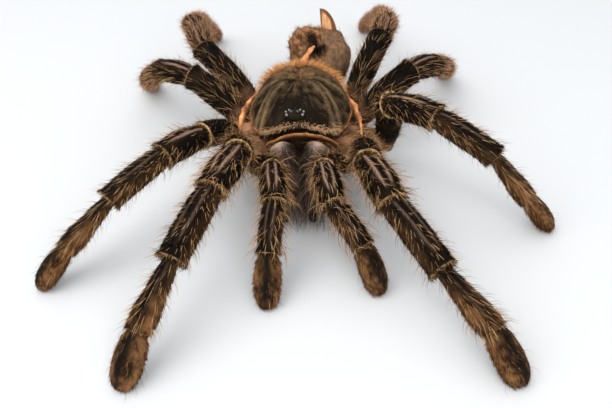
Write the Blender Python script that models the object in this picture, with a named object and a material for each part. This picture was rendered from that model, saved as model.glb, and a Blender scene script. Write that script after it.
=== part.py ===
"""A Chilean rose tarantula at life size, standing still, as a museum would show it.

+Z is up and the spider faces -Y, so its right side is at -X. Sizes here are in millimetres, and
add_object turns them into metres. Headings are angles seen from above, 0 towards +X and 90 towards +Y.
Pitches are the rise above level, in degrees.
"""

import math
import random

import bmesh
import bpy
from mathutils import Vector
from mathutils.bvhtree import BVHTree

MM = 0.001
GAP = 0.3
SHARP_ANGLE = 50
FLOOR_Z = 0.0
UP = Vector((0, 0, 1))

# The prosoma, the front part of the body, which carries the limbs.
CARAPACE_RIM_Z = 10.0
CLYPEUS_ARCH = 3.3
CLYPEUS_ARCH_SPREAD = 28
REAR_RISE = 3.8
REAR_RISE_FROM = 95
FRONT_EDGE_POWER = 4
REAR_EDGE_POWER = 2.2
THORAX_HEIGHT = 5.3
THORAX_ROUNDNESS = 3.2
CAPUT_HEIGHT = 0.9
CAPUT_CENTRE_Y = -5.0
CAPUT_HALF_WIDTH = 5.4
CAPUT_HALF_LENGTH = 6.6
FOVEA_Y = 4.8
FOVEA_DEPTH = 0.9
FOVEA_SPREADS = (1.9, 0.9)
GROOVE_DEPTH = 0.4
GROOVE_SPREAD = 0.8
GROOVE_START = 2.5
GROOVE_HEADINGS = (-62, -28, 8, 48)
# Distance of the carapace's edge from its middle, by angle from straight ahead.
CARAPACE_EDGE = ((0, 10.7), (18, 10.9), (34, 10.9), (55, 9.9), (75, 9.4), (95, 9.5), (120, 10.1), (145, 11.1),
                 (165, 11.4), (180, 11.2))
CARAPACE_SECTORS = 28
CARAPACE_RINGS = (0.12, 0.26, 0.40, 0.54, 0.68, 0.81, 0.92, 1.0)
CARAPACE_UNDER_RINGS = (0.985, 0.7)
CARAPACE_LIP = 0.35
CORE_HALF_WIDTH = 6.4
CORE_HALF_LENGTH = 9.3
CORE_BOTTOM_Z = 4.7
HOOD_STATIONS = 9
HOOD_SHIFT = 0.5
HOOD_HALF_WIDTH = 6.4
HOOD_END_Y = -9.3
HOOD_END_Z = 8.9
HOOD_REACH = 1.6
HOOD_RISE = 3.4
HOOD_ROOT_Y = -7.2
HOOD_ROOT_Z = CARAPACE_RIM_Z - 1.1
HOOD_ROOT_SHARE = 0.62
HOOD_THICKNESS = 0.75
STERNUM_HALF_WIDTH = 5.2
STERNUM_HALF_LENGTH = 7.0
STERNUM_BOTTOM_Z = 3.2
STERNUM_Y = 0.4
STERNUM_SIDES = 20
STERNUM_NARROWING = 0.18
# Levels of the plates under the body, each with the share of its full size.
STERNUM_LEVELS = ((STERNUM_BOTTOM_Z, 0.78), (STERNUM_BOTTOM_Z + 0.5, 0.97), (CORE_BOTTOM_Z - GAP, 1.0))
LABIUM_Y = -7.6
LABIUM_HALF_WIDTH = 1.6
LABIUM_HALF_LENGTH = 1.5
LABIUM_SIDES = 10
TUBERCLE_X = -0.6
TUBERCLE_Y = -8.4
TUBERCLE_SEAT_SHARE = 0.68
TUBERCLE_SEAT_DROP = 0.1
TUBERCLE_SEAT_MARGINS = (1.0, 1.5)
TUBERCLE_HALF_WIDTH = 1.75
TUBERCLE_HALF_LENGTH = 1.15
TUBERCLE_HEIGHT = 0.95
TUBERCLE_SIDES = 12
# Rings of the tubercle: share of its height and of its width.
TUBERCLE_RINGS = ((0.0, 1.0), (0.45, 0.92), (0.8, 0.72), (1.0, 0.36))
EYE_SUNK = 0.08
# Each right-hand eye: how far to the side and ahead of the tubercle's middle, how far up it, and its radius.
EYES = {"front_middle": (0.55, 0.35, 0.80, 0.36), "front_side": (1.35, 0.62, 0.35, 0.30),
        "rear_middle": (0.95, -0.38, 0.72, 0.22), "rear_side": (1.50, -0.35, 0.35, 0.26)}

# Sizes of the limbs: where the femur starts on the right-hand side, mirrored for the left.
LIMBS = {
    "palp": {"root": (7.8, -12.6, 6.8), "facet": -46, "coxa_z": 6.2, "inner": 1.0,
             "lengths": (11.1, 7.0, 7.55, 8.1), "radii": (1.65, 1.95, 1.75, 2.05)},
    "leg_1": {"root": (11.2, -7.5, 6.9), "facet": -25, "coxa_z": 6.9, "inner": 1.4,
              "lengths": (14.9, 9.3, 12.1, 10.1, 7.7), "radii": (2.35, 2.5, 2.2, 1.9, 2.2)},
    "leg_2": {"root": (12.2, -1.8, 6.9), "facet": -7, "coxa_z": 6.9, "inner": 1.9,
              "lengths": (12.9, 8.6, 10.6, 9.9, 7.6), "radii": (2.3, 2.4, 2.05, 1.8, 2.05)},
    "leg_3": {"root": (11.4, 3.2, 7.0), "facet": 13, "coxa_z": 6.9, "inner": 1.9,
              "lengths": (12.7, 7.5, 7.7, 10.5, 7.6), "radii": (2.45, 2.35, 2.05, 1.65, 1.85)},
    "leg_4": {"root": (9.6, 8.4, 7.2), "facet": 37, "coxa_z": 7.0, "inner": 1.8,
              "lengths": (16.6, 8.2, 11.7, 14.9, 8.7), "radii": (2.45, 2.4, 2.1, 1.6, 1.85)},
}
LEG_SEGMENTS = ("femur", "patella", "tibia", "metatarsus", "tarsus")
PALP_SEGMENTS = ("femur", "patella", "tibia", "tarsus")
# The pose: heading and pitch of each segment from the femur outwards. The last one, the tarsus, has only
# a heading, because it reaches down to the floor.
POSES = {
    "palp_right": ((-65, 32), (-84, -10), (-98, -41), -93),
    "palp_left": ((-112, 33), (-79, -16), (-50, -29), -47),
    "leg_1_right": ((-80, 32), (-109, -3), (-111, -16), (-116, -31), -114),
    "leg_1_left": ((-91, 26), (-70, -7), (-57, -19), (-55, -16), -51),
    "leg_2_right": ((-111, 29), (-124, 6), (-136, -17), (-140, -32), -152),
    "leg_2_left": ((-93, 61), (-41, 5), (-29, -23), (-13, -49), 0),
    "leg_3_right": ((155, 33), (154, -2), (130, -33), (110, -31), 105),
    "leg_3_left": ((25, 35), (45, -11), (61, -26), (75, -28), 80),
    "leg_4_right": ((136, 25), (113, 19), (94, -21), (92, -28), 92),
    "leg_4_left": ((64, 28), (76, 0), (92, -14), (96, -26), 99),
}
# A leg whose hip is drawn further out than its pair.
STRETCHED_ROOTS = {"leg_2_left": (15.8, -3.4, 5.8)}
TARSUS_TIP_Z = 0.22
FOOT_SNAP = 0.24
LIMB_SIDES = 10
BEND_SHARE = 0.3
COXA_SHARE = 0.88
# Shapes along each segment: share of its length, and share of its radius.
PROFILES = {
    "coxa": ((0.0, 0.0), (0.45, 0.6), (0.88, 1.0)),
    "femur": ((0.15, 0.88), (0.5, 1.0), (0.9, 0.97), (1.0, 1.0)),
    "patella": ((0.0, 0.76), (0.16, 0.94), (0.5, 1.04), (0.90, 0.96), (1.0, 0.98)),
    "tibia": ((0.0, 0.78), (0.12, 0.96), (0.5, 1.0), (0.93, 0.98), (1.0, 1.0)),
    "metatarsus": ((0.0, 0.64), (0.40, 0.84), (0.75, 1.04), (0.95, 0.98), (1.0, 0.86)),
    "tarsus": ((0.0, 0.62), (0.14, 0.90), (0.45, 1.02), (0.74, 0.96), (0.92, 0.72), (1.0, 0.42)),
}
SEGMENT_HEIGHT_SHARE = {"coxa": 1.0, "femur": 1.0, "patella": 0.92, "tibia": 0.95, "metatarsus": 0.86,
                        "tarsus": 0.78}
SEGMENT_BOW = {"femur": 0.5, "patella": 0.35, "tibia": 0.2, "metatarsus": 0.0, "tarsus": 0.15}

# The chelicerae: side, forward and height of the middle of each cross-section, its half width and half
# height, and how far it leans forward of level.
CHELICERA_SECTIONS = ((2.55, -10.1, 8.3, 1.85, 1.6, 0), (2.65, -11.35, 8.7, 2.3, 2.8, 4),
                      (3.0, -12.9, 8.6, 2.7, 3.65, 10), (2.7, -14.8, 7.3, 2.22, 3.4, 20),
                      (2.55, -17.0, 5.9, 2.1, 3.0, 33), (2.45, -18.9, 4.4, 1.85, 2.2, 46),
                      (2.35, -19.9, 3.4, 1.35, 1.3, 55))
CHELICERA_SHIFT = 0.05
CHELICERA_SIDES = 14
FANG_SIDES = 8
FANG_POINTS = ((2.4, -20.35, 2.95), (2.4, -20.7, 2.1), (2.35, -20.1, 1.3), (2.3, -18.7, 0.9), (2.2, -17.0, 0.8))
FANG_RADII = (0.85, 0.8, 0.6, 0.4, 0.12)

# The abdomen is a dried, fallen-in sac, drawn over to the spider's left, with a fold of skin standing up
# from its far end.
ABDOMEN_CENTRE = Vector((3.3, 20.3, 11.2))
ABDOMEN_HALF_SIZE = Vector((6.5, 8.0, 7.3))
# Each dent or swelling: heading and pitch of its middle, depth (minus for a swelling) and spread in degrees.
ABDOMEN_FOLDS = {
    "front_hollow": (-108, 58, 4.6, 21), "left_lobe": (-20, 26, -0.6, 30), "right_lobe": (178, 42, -0.6, 30),
    "rear_crease": (82, 58, 2.2, 20), "right_pleat": (-160, 6, 1.3, 18), "left_pleat": (20, -4, 1.1, 18),
    "rear_pleat": (120, 10, 1.3, 20), "lower_pleat": (-60, -30, 1.2, 24),
}
ABDOMEN_RIPPLES = 7
ABDOMEN_RIPPLE_DEPTH = 0.22
ABDOMEN_SECTORS = 22
ABDOMEN_RINGS = 12
FLAP_ROOT = (3.9, 22.4, 14.5)
FLAP_HEIGHT = 6.4
FLAP_WIDTH = 3.4
FLAP_SLANT = 0.35
FLAP_STRAIGHT_SHARE = 0.12
FLAP_THICKNESS = 0.7
FLAP_LEAN = 12
FLAP_TIP_THICKNESS_SHARE = 0.7
FLAP_TIP_FROM = 0.8
FLAP_CUP_DEPTH = 1.6
# Levels of the flap: share of its height, and how cupped it is there.
FLAP_LEVELS = ((-0.2, 0.0), (0.12, 0.25), (0.4, 0.55), (0.68, 0.5), (0.88, 0.25), (0.98, 0.0))
FLAP_ACROSS = (-1.0, -0.5, 0.0, 0.5, 1.0)
PEDICEL_START_Z = 8.0
PEDICEL_END = (1.4, 12.0, 9.6)
PEDICEL_RADIUS = 1.3
# Rings of the waist: share of the way along it, and shares of its radius to the side and up.
PEDICEL_RINGS = ((0.0, 1.15, 1.0), (0.5, 0.9, 0.8), (1.0, 1.0, 1.0))
PEDICEL_SIDES = 10
SPINNERET_HEADINGS = {"right": 118, "left": 62}
SPINNERET_PITCH = -18
SPINNERET_LENGTHS = (2.4, 1.8, 1.5)
SPINNERET_RADIUS = 0.95
SPINNERET_SIDES = 8
SPINNERET_SEAT_GAP = GAP + 0.15
SPINNERET_TAPER = 0.78
SPINNERET_END_SHARE = 0.95
SPINNERET_END_FROM = 0.85
SPINNERET_TURN_UP = 0.16
SPINNERET_TIP_LENGTH = 0.5
SPINNERET_TIP_SHARE = 0.3

# The bristly coat: flat, tapered locks in staggered rows. Angles round a limb run from its left side
# over the top. Each coat gives the spacing of its rows, the angles of its two sorts of row, and the length
# and width of a lock.
LOCK_THICKNESS = 0.55
LOCK_SUNK = 0.85
LOCK_ROOT_BACK = 0.6
LOCK_KNEE = 0.45
LOCK_ROOT_SHARE = 0.8
LOCK_LIFT = 36
LOCK_BEND = 16
LOCK_CLEARANCE = 0.36
LOCK_SAMPLE_SPREAD = 0.45
LOCK_SEARCH = 4.0
LOCK_FLOOR_CLEARANCE = 0.5
LOCK_SEED = 11
# How uneven the locks are: share of their length and width, turn of their lie, and degrees of lift and place.
UNEVEN_LENGTH = (0.85, 1.12)
UNEVEN_WIDTH = (0.9, 1.1)
UNEVEN_LIE = 0.22
UNEVEN_LIFT = 6
UNEVEN_ANGLE = 7
WIDE_ROWS = ((12, 66, 114, 168), (38, 90, 142))
COATS = {
    "femur": {"from": 0.38, "to": 0.92, "spacing": 4.5, "rows": WIDE_ROWS, "length": 2.9, "width": 1.4},
    "patella": {"from": 0.24, "to": 0.86, "spacing": 4.1, "rows": WIDE_ROWS, "length": 3.0, "width": 1.35},
    "tibia": {"from": 0.16, "to": 0.90, "spacing": 4.1, "rows": WIDE_ROWS, "length": 3.3, "width": 1.35},
    "metatarsus": {"from": 0.26, "to": 0.88, "spacing": 4.3, "rows": ((14, 68, 112, 166), (0, 90, 180)),
                   "length": 2.9, "width": 1.2},
    "tarsus": {"from": 0.22, "to": 0.66, "spacing": 3.4, "rows": ((10, 90, 170), (0, 62, 118, 180)),
               "length": 2.1, "width": 1.1},
}
CHELICERA_LOCK_SECTIONS = (2.5, 3.3, 4.1)
CHELICERA_LOCK_ANGLES = (20, 90, 160)
CHELICERA_LOCK_LENGTH = 2.6
CHELICERA_LOCK_WIDTH = 1.1
ABDOMEN_LOCKS = 16
ABDOMEN_LOCK_LENGTH = 3.0
ABDOMEN_LOCK_WIDTH = 1.3
ABDOMEN_LOCK_TURN = 137.5
# The sines of the lowest and highest pitch with a lock, the way the locks point, and how much of it must
# lie along the skin.
ABDOMEN_LOCK_LEVELS = (-0.35, 0.9)
ABDOMEN_LIE = (0.0, 1.0, -0.35)
ABDOMEN_LEAST_LIE = 0.3
CARAPACE_FRINGE_ANGLES = (72, 94, 116, 136, 154, 171)
CARAPACE_FRINGE_LENGTH = 2.1
CARAPACE_FRINGE_WIDTH = 1.2
CARAPACE_FRINGE_LIFT = 24
CARAPACE_FRINGE_SHARES = (0.8, 0.92)
CARAPACE_FRINGE_SWEEP = 0.35

# Colours, as red, green and blue, with roughness.
MATERIALS = {
    "carapace": ((0.115, 0.080, 0.050), 0.55), "limb": ((0.060, 0.038, 0.026), 0.75),
    "foot": ((0.135, 0.068, 0.040), 0.85), "membrane": ((0.42, 0.19, 0.10), 0.7),
    "sternum": ((0.045, 0.030, 0.024), 0.7), "chelicera": ((0.085, 0.060, 0.055), 0.5),
    "fang": ((0.012, 0.008, 0.008), 0.2), "abdomen": ((0.125, 0.085, 0.065), 0.85),
    "eye": ((0.010, 0.008, 0.010), 0.08),
}


def smoothstep(t):
    t = max(0.0, min(1.0, t))
    return t * t * (3 - 2 * t)


def bell(distance, spread):
    return math.exp(-(distance / spread) ** 2)


def direction(heading, pitch):
    h, p = math.radians(heading), math.radians(pitch)
    return Vector((math.cos(h) * math.cos(p), math.sin(h) * math.cos(p), math.sin(p)))


def angle_apart(a, b):
    return math.degrees(a.angle(b))


def read_curve(points, at):
    """The value at a place along a list of (place, value) pairs, joined smoothly."""
    for (a, low), (b, high) in zip(points, points[1:]):
        if at <= b:
            return low + (high - low) * smoothstep((at - a) / (b - a))
    return points[-1][1]


def material(name):
    """A plain finish for one sort of surface, made once."""
    made = bpy.data.materials.get(name)
    if made:
        return made
    colour, roughness = MATERIALS[name]
    made = bpy.data.materials.new(name)
    made.use_nodes = True
    shader = made.node_tree.nodes["Principled BSDF"]
    shader.inputs["Base Color"].default_value = (*colour, 1.0)
    shader.inputs["Roughness"].default_value = roughness
    shader.inputs["Metallic"].default_value = 0.0
    made.diffuse_color = (*colour, 1.0)
    return made


def closed_mesh(name, points, faces):
    """A mesh from points in millimetres, its faces turned outwards."""
    mesh = bpy.data.meshes.new(name)
    mesh.from_pydata([tuple(Vector(p) * MM) for p in points], [], faces)
    body = bmesh.new()
    body.from_mesh(mesh)
    bmesh.ops.recalc_face_normals(body, faces=body.faces)
    body.to_mesh(mesh)
    body.free()
    mesh.shade_smooth()
    mesh.set_sharp_from_angle(angle=math.radians(SHARP_ANGLE))
    return mesh


def add_object(name, points, faces, finish, parent=None):
    mesh = closed_mesh(name, points, faces)
    mesh.materials.append(material(finish))
    made = bpy.data.objects.new(name, mesh)
    bpy.context.scene.collection.objects.link(made)
    made.parent = parent
    return made


def ring(centre, normal, half_width, half_height, sides=LIMB_SIDES):
    """A loop of points round a centre, square to a normal, with its height towards +Z."""
    side = normal.cross(UP).normalized()
    rise = side.cross(normal).normalized()
    points = []
    for i in range(sides):
        a = 2 * math.pi * (i + 0.5) / sides
        points.append(centre + side * (half_width * math.cos(a)) + rise * (half_height * math.sin(a)))
    return points


def loft(rings):
    """Points and faces of a closed skin over rings of equal count, with flat ends."""
    count = len(rings[0])
    points = [p for r in rings for p in r]
    faces = []
    for k in range(len(rings) - 1):
        for i in range(count):
            j = (i + 1) % count
            faces.append((k * count + i, k * count + j, (k + 1) * count + j, (k + 1) * count + i))
    last = (len(rings) - 1) * count
    faces.append(tuple(reversed(range(count))))
    faces.append(tuple(range(last, last + count)))
    return points, faces


class Limb:
    """One palp or leg as a line of joints, with the plane in which its parts meet at each joint."""

    def __init__(self, name):
        self.name = name
        self.kind, _, side = name.rpartition("_")
        self.sizes = LIMBS[self.kind]
        self.segments = PALP_SEGMENTS if self.kind == "palp" else LEG_SEGMENTS
        mirror = 1 if side == "left" else -1
        facet = core_facet(self.sizes["facet"])
        inner = Vector((mirror * facet[0].x, facet[0].y, self.sizes["coxa_z"]))
        inner_normal = Vector((mirror * facet[1].x, facet[1].y, 0))
        x, y, z = self.sizes["root"]
        joints = [inner, Vector(STRETCHED_ROOTS.get(name, (mirror * x, y, z)))]
        *bends, tarsus_heading = POSES[name]
        lengths = self.sizes["lengths"]
        for (heading, pitch), length in zip(bends, lengths):
            joints.append(joints[-1] + direction(heading, pitch) * length)
        drop = math.degrees(math.asin((joints[-1].z - TARSUS_TIP_Z) / lengths[-1]))
        joints.append(joints[-1] + direction(tarsus_heading, -drop) * lengths[-1])
        self.joints = joints
        axes = [(b - a).normalized() for a, b in zip(joints, joints[1:])]
        self.axes = axes
        self.normals = [inner_normal.normalized()]
        self.normals += [(a + b).normalized() for a, b in zip(axes, axes[1:])]
        self.normals.append(axes[-1])

    def frame_at(self, span, share):
        """The middle and direction of the limb at a share of the way along one of its spans."""
        start, end = self.joints[span], self.joints[span + 1]
        axis = self.axes[span]
        first, last = self.normals[span], self.normals[span + 1]
        near = smoothstep(share / BEND_SHARE)
        far = smoothstep((1 - share) / BEND_SHARE)
        if share < 0.5:
            normal = first.lerp(axis, near).normalized()
        else:
            normal = last.lerp(axis, far).normalized()
        segment = self.segments[span - 1] if span else "coxa"
        bow = SEGMENT_BOW.get(segment, 0.0) * 4 * share * (1 - share)
        side = axis.cross(UP).normalized()
        centre = start.lerp(end, share) + side.cross(axis).normalized() * bow
        return centre, normal

    def section(self, span, share, radius_share, end_gap=0.0):
        segment = self.segments[span - 1] if span else "coxa"
        centre, normal = self.frame_at(span, share)
        if span == 0:
            inner = self.sizes["inner"]
            radius = inner + (self.sizes["radii"][0] * COXA_SHARE - inner) * radius_share
        else:
            radius = self.sizes["radii"][span - 1] * radius_share
        height = radius * SEGMENT_HEIGHT_SHARE[segment]
        return ring(centre + normal * end_gap, normal, radius, height)

    def surface(self, span, share, angle):
        """A place on a segment's skin, with the skin's outward direction and the segment's lie there."""
        profile = PROFILES[self.segments[span - 1]]
        k = max(i for i, (at, _) in enumerate(profile[:-1]) if at <= share)
        (low, low_share), (high, high_share) = profile[k], profile[k + 1]
        part = (share - low) / (high - low)
        centre_low, normal_low = self.frame_at(span, low)
        centre_high, normal_high = self.frame_at(span, high)
        centre = centre_low.lerp(centre_high, part)
        normal = normal_low.lerp(normal_high, part).normalized()
        radius = self.sizes["radii"][span - 1] * (low_share + (high_share - low_share) * part)
        a = math.radians(angle)
        side = -normal.cross(UP).normalized()
        rise = normal.cross(side).normalized()
        if rise.z < 0:
            rise = -rise
        height = radius * SEGMENT_HEIGHT_SHARE[self.segments[span - 1]]
        out = (side * math.cos(a) / radius + rise * math.sin(a) / height).normalized()
        return centre + side * (radius * math.cos(a)) + rise * (height * math.sin(a)), out, normal

    def segment_rings(self, span):
        """Rings of one segment, held half a gap back from the joints at both ends."""
        segment = self.segments[span - 1] if span else "coxa"
        made = []
        for share, radius_share in PROFILES[segment]:
            end_gap = 0.0
            if share == 0.0:
                end_gap = GAP / 2 if span else GAP
            elif share == 1.0 and span < len(self.segments):
                end_gap = -GAP / 2
            made.append(self.section(span, share, radius_share, end_gap))
        return made

    def build(self, parent):
        """The limb's nodes: coxa, trochanter and femur in one, then one for each further segment."""
        for span, segment in enumerate(self.segments, start=1):
            rings = self.segment_rings(span)
            if segment == "femur":
                rings = self.segment_rings(0) + rings
            points, faces = loft(rings)
            if segment == "tarsus":
                points = [Vector((p.x, p.y, p.z if p.z > FOOT_SNAP else FLOOR_Z)) for p in points]
            finish = "foot" if segment == "tarsus" else "limb"
            add_object(f"{self.name}_{segment}", points, faces, finish, parent)


def lock(surface, out, along, length, width, lift=LOCK_LIFT):
    """Points and faces of one flat lock that rises from a surface, bends over and ends in a point."""
    across = along.cross(out).normalized()
    low_way = along * math.cos(math.radians(lift)) + out * math.sin(math.radians(lift))
    bent = math.radians(lift - LOCK_BEND)
    high_way = along * math.cos(bent) + out * math.sin(bent)
    middle = surface + low_way * (length * LOCK_KNEE)
    root = surface - out * LOCK_SUNK - along * (LOCK_SUNK * LOCK_ROOT_BACK)
    rings = []
    knee_way = (low_way + high_way).normalized()
    for centre, way, half in ((root, low_way, width / 2 * LOCK_ROOT_SHARE), (middle, knee_way, width / 2)):
        ridge = way.cross(across).normalized()
        if ridge.dot(out) < 0:
            ridge = -ridge
        rings.append([centre - across * half, centre + across * half, centre + ridge * LOCK_THICKNESS])
    tip = middle + high_way * (length * (1 - LOCK_KNEE))
    points = rings[0] + rings[1] + [tip]
    faces = [(0, 1, 2), (3, 4, 6), (4, 5, 6), (5, 3, 6)]
    for i in range(3):
        j = (i + 1) % 3
        faces.append((i, j, 3 + j, 3 + i))
    return points, faces


class Coat:
    """Places locks on the nodes where they stay clear of every other node, its locks and the floor."""

    def __init__(self, parent):
        self.random = random.Random(LOCK_SEED)
        self.parent = parent
        self.locks = {made.name: [] for made in parent.children}
        self.taken = {made.name: [] for made in parent.children}
        self.locks["abdomen"].append(flap_shape())
        self.shapes = {}
        for made in parent.children:
            corners = [v.co / MM for v in made.data.vertices]
            faces = [tuple(f.vertices) for f in made.data.polygons]
            self.shapes[made.name] = BVHTree.FromPolygons(corners, faces)

    def is_clear(self, node, samples):
        for p in samples:
            if p.z < LOCK_FLOOR_CLEARANCE:
                return False
        for name, shape in self.shapes.items():
            if name == node:
                continue
            for p in samples:
                place, normal, _, distance = shape.find_nearest(p, LOCK_SEARCH)
                if place is None:
                    continue
                if distance < LOCK_CLEARANCE or (p - place).dot(normal) < 0:
                    return False
            for other in self.taken[name]:
                for p in samples:
                    if (p - other).length < LOCK_CLEARANCE + LOCK_SAMPLE_SPREAD:
                        return False
        return True

    def add(self, node, surface, out, along, length, width, lift=LOCK_LIFT):
        """Adds a lock, its size and lie a little uneven, unless it would touch something."""
        vary = self.random.uniform
        length *= vary(*UNEVEN_LENGTH)
        width *= vary(*UNEVEN_WIDTH)
        along = (along + along.cross(out) * vary(-UNEVEN_LIE, UNEVEN_LIE)).normalized()
        out = (out - along * out.dot(along)).normalized()
        points, faces = lock(surface, out, along, length, width, lift + vary(-UNEVEN_LIFT, UNEVEN_LIFT))
        middle = points[3:6]
        tip = points[6]
        samples = middle + [tip] + [p.lerp(tip, share) for p in middle for share in (0.33, 0.66)]
        samples.append((middle[0] + middle[1]) / 2)
        if self.is_clear(node, samples):
            self.locks[node].append((points, faces))
            self.taken[node] += samples

    def cover_limb(self, limb):
        for span, segment in enumerate(limb.segments, start=1):
            coat = COATS[segment]
            span_length = (limb.joints[span + 1] - limb.joints[span]).length
            count = max(2, round(span_length * (coat["to"] - coat["from"]) / coat["spacing"]) + 1)
            for row in range(count):
                share = coat["from"] + (coat["to"] - coat["from"]) * row / (count - 1)
                for angle in coat["rows"][row % 2]:
                    turned = angle + self.random.uniform(-UNEVEN_ANGLE, UNEVEN_ANGLE)
                    surface, out, along = limb.surface(span, share, turned)
                    self.add(f"{limb.name}_{segment}", surface, out, along, coat["length"], coat["width"])

    def cover_chelicerae(self):
        for side, mirror in (("right", -1), ("left", 1)):
            for place in CHELICERA_LOCK_SECTIONS:
                for angle in CHELICERA_LOCK_ANGLES:
                    surface, out, along = chelicera_surface(mirror, place, angle)
                    self.add(f"chelicera_{side}", surface, out, along, CHELICERA_LOCK_LENGTH,
                             CHELICERA_LOCK_WIDTH)

    def cover_abdomen(self):
        for i in range(ABDOMEN_LOCKS):
            low, high = ABDOMEN_LOCK_LEVELS
            pitch = math.degrees(math.asin(low + (high - low) * (i + 0.5) / ABDOMEN_LOCKS))
            heading = ABDOMEN_LOCK_TURN * i
            surface = abdomen_point(heading, pitch)
            east = abdomen_point(heading + 4, pitch) - surface
            north = abdomen_point(heading, pitch + 4) - surface
            out = east.cross(north).normalized()
            lie = Vector(ABDOMEN_LIE)
            along = lie - out * lie.dot(out)
            if along.length > ABDOMEN_LEAST_LIE:
                self.add("abdomen", surface, out, along.normalized(), ABDOMEN_LOCK_LENGTH, ABDOMEN_LOCK_WIDTH)

    def cover_carapace(self):
        for angle in [-a for a in CARAPACE_FRINGE_ANGLES] + list(CARAPACE_FRINGE_ANGLES):
            inner, surface = (carapace_top(angle, share) for share in CARAPACE_FRINGE_SHARES)
            along = (surface - inner).normalized()
            along = (along + Vector((0, CARAPACE_FRINGE_SWEEP, 0))).normalized()
            across = along.cross(UP).normalized()
            out = across.cross(along).normalized()
            self.add("carapace", surface, out, along, CARAPACE_FRINGE_LENGTH, CARAPACE_FRINGE_WIDTH,
                     CARAPACE_FRINGE_LIFT)

    def fuse(self):
        """Makes each node's locks one solid with it."""
        for made in self.parent.children:
            locks = [add_object("lock", *shape, "limb") for shape in self.locks[made.name]]
            if locks:
                join(made, locks)
                made.data.shade_smooth()
                made.data.set_sharp_from_angle(angle=math.radians(SHARP_ANGLE))


def core_facet(heading):
    """Middle and outward normal of the core's flat side that faces a heading, on its left-hand side."""
    normal = direction(heading, 0)
    reach = math.hypot(CORE_HALF_WIDTH * normal.x, CORE_HALF_LENGTH * normal.y)
    middle = Vector((CORE_HALF_WIDTH ** 2 * normal.x / reach, CORE_HALF_LENGTH ** 2 * normal.y / reach, 0))
    return middle, normal


def core_outline():
    """Corners of the core seen from above: where the flat sides that carry the limbs meet."""
    headings = [-90] + [LIMBS[kind]["facet"] for kind in LIMBS] + [64, 90]
    sides = [core_facet(h) for h in headings]
    sides += [(Vector((-m.x, m.y, 0)), Vector((-n.x, n.y, 0))) for m, n in reversed(sides[1:-1])]
    corners = []
    for (m1, n1), (m2, n2) in zip(sides, sides[1:] + sides[:1]):
        d1, d2 = m1.dot(n1), m2.dot(n2)
        across = n1.x * n2.y - n1.y * n2.x
        corners.append(Vector(((d1 * n2.y - d2 * n1.y) / across, (n1.x * d2 - n2.x * d1) / across, 0)))
    return corners


def build_core(parent):
    """The soft side wall between the carapace and the sternum, which the coxae grow from."""
    outline = core_outline()
    rings = [[Vector((p.x, p.y, z)) for p in outline] for z in (CORE_BOTTOM_Z, CARAPACE_RIM_Z - GAP)]
    points, faces = loft(rings)
    pleura = add_object("pleura", points, faces, "membrane", parent)
    join(pleura, [build_hood()])


def build_hood():
    """The arched lip of soft skin between the clypeus and the jaws."""
    rings = []
    for k in range(HOOD_STATIONS):
        across = -1 + 2 * k / (HOOD_STATIONS - 1)
        arch = 1 - across ** 2
        x = HOOD_SHIFT + HOOD_HALF_WIDTH * across
        lip_y = HOOD_END_Y - HOOD_REACH * arch
        lip_z = HOOD_END_Z + HOOD_RISE * arch
        root_x = x * HOOD_ROOT_SHARE
        rings.append([Vector((x, lip_y, lip_z + HOOD_THICKNESS / 2)),
                      Vector((x, lip_y, lip_z - HOOD_THICKNESS / 2)),
                      Vector((root_x, HOOD_ROOT_Y, HOOD_ROOT_Z - HOOD_THICKNESS)),
                      Vector((root_x, HOOD_ROOT_Y, HOOD_ROOT_Z))])
    return add_object("hood", *loft(rings), "membrane")


def build_sternum(parent):
    """The plate under the body, with the labium ahead of it."""
    def plate(centre_y, half_width, half_length, sides):
        rings = []
        for z, share in STERNUM_LEVELS:
            loop = []
            for i in range(sides):
                a = 2 * math.pi * i / sides
                narrow = 1 - STERNUM_NARROWING * max(0.0, math.sin(a)) ** 2
                loop.append(Vector((half_width * share * narrow * math.cos(a),
                                    centre_y + half_length * share * math.sin(a), z)))
            rings.append(loop)
        return loft(rings)

    large = plate(STERNUM_Y, STERNUM_HALF_WIDTH, STERNUM_HALF_LENGTH, STERNUM_SIDES)
    small = plate(LABIUM_Y, LABIUM_HALF_WIDTH, LABIUM_HALF_LENGTH, LABIUM_SIDES)
    sternum = add_object("sternum", *large, "sternum", parent)
    labium = add_object("labium", *small, "sternum")
    join(sternum, [labium])


def is_closed(mesh):
    body = bmesh.new()
    body.from_mesh(mesh)
    closed = all(len(edge.link_faces) == 2 for edge in body.edges)
    body.free()
    return closed


def join(base, extras):
    """Fuses closed pieces into one object by a Boolean union, and removes the pieces."""
    group = bpy.data.collections.new("pieces")
    for extra in extras:
        for home in list(extra.users_collection):
            home.objects.unlink(extra)
        group.objects.link(extra)
    bpy.context.scene.collection.children.link(group)
    union = base.modifiers.new("union", "BOOLEAN")
    union.operation = "UNION"
    union.operand_type = "COLLECTION"
    union.collection = group
    for solver in ("EXACT", "MANIFOLD"):
        union.solver = solver
        graph = bpy.context.evaluated_depsgraph_get()
        fused = bpy.data.meshes.new_from_object(base.evaluated_get(graph))
        if is_closed(fused):
            break
    base.modifiers.clear()
    base.data = fused
    for extra in extras:
        bpy.data.objects.remove(extra)
    bpy.data.collections.remove(group)
    keep_largest_body(base)


def keep_largest_body(made):
    """Drops every closed surface but the largest, such as a hollow that fusing sealed in."""
    body = bmesh.new()
    body.from_mesh(made.data)
    body.faces.ensure_lookup_table()
    unseen = set(body.faces)
    groups = []
    while unseen:
        stack = [unseen.pop()]
        group = list(stack)
        while stack:
            face = stack.pop()
            for edge in face.edges:
                for other in edge.link_faces:
                    if other in unseen:
                        unseen.remove(other)
                        stack.append(other)
                        group.append(other)
        groups.append(group)
    groups.sort(key=lambda faces: sum(f.calc_area() for f in faces))
    for group in groups[:-1]:
        bmesh.ops.delete(body, geom=group, context="FACES")
    body.to_mesh(made.data)
    body.free()


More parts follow.
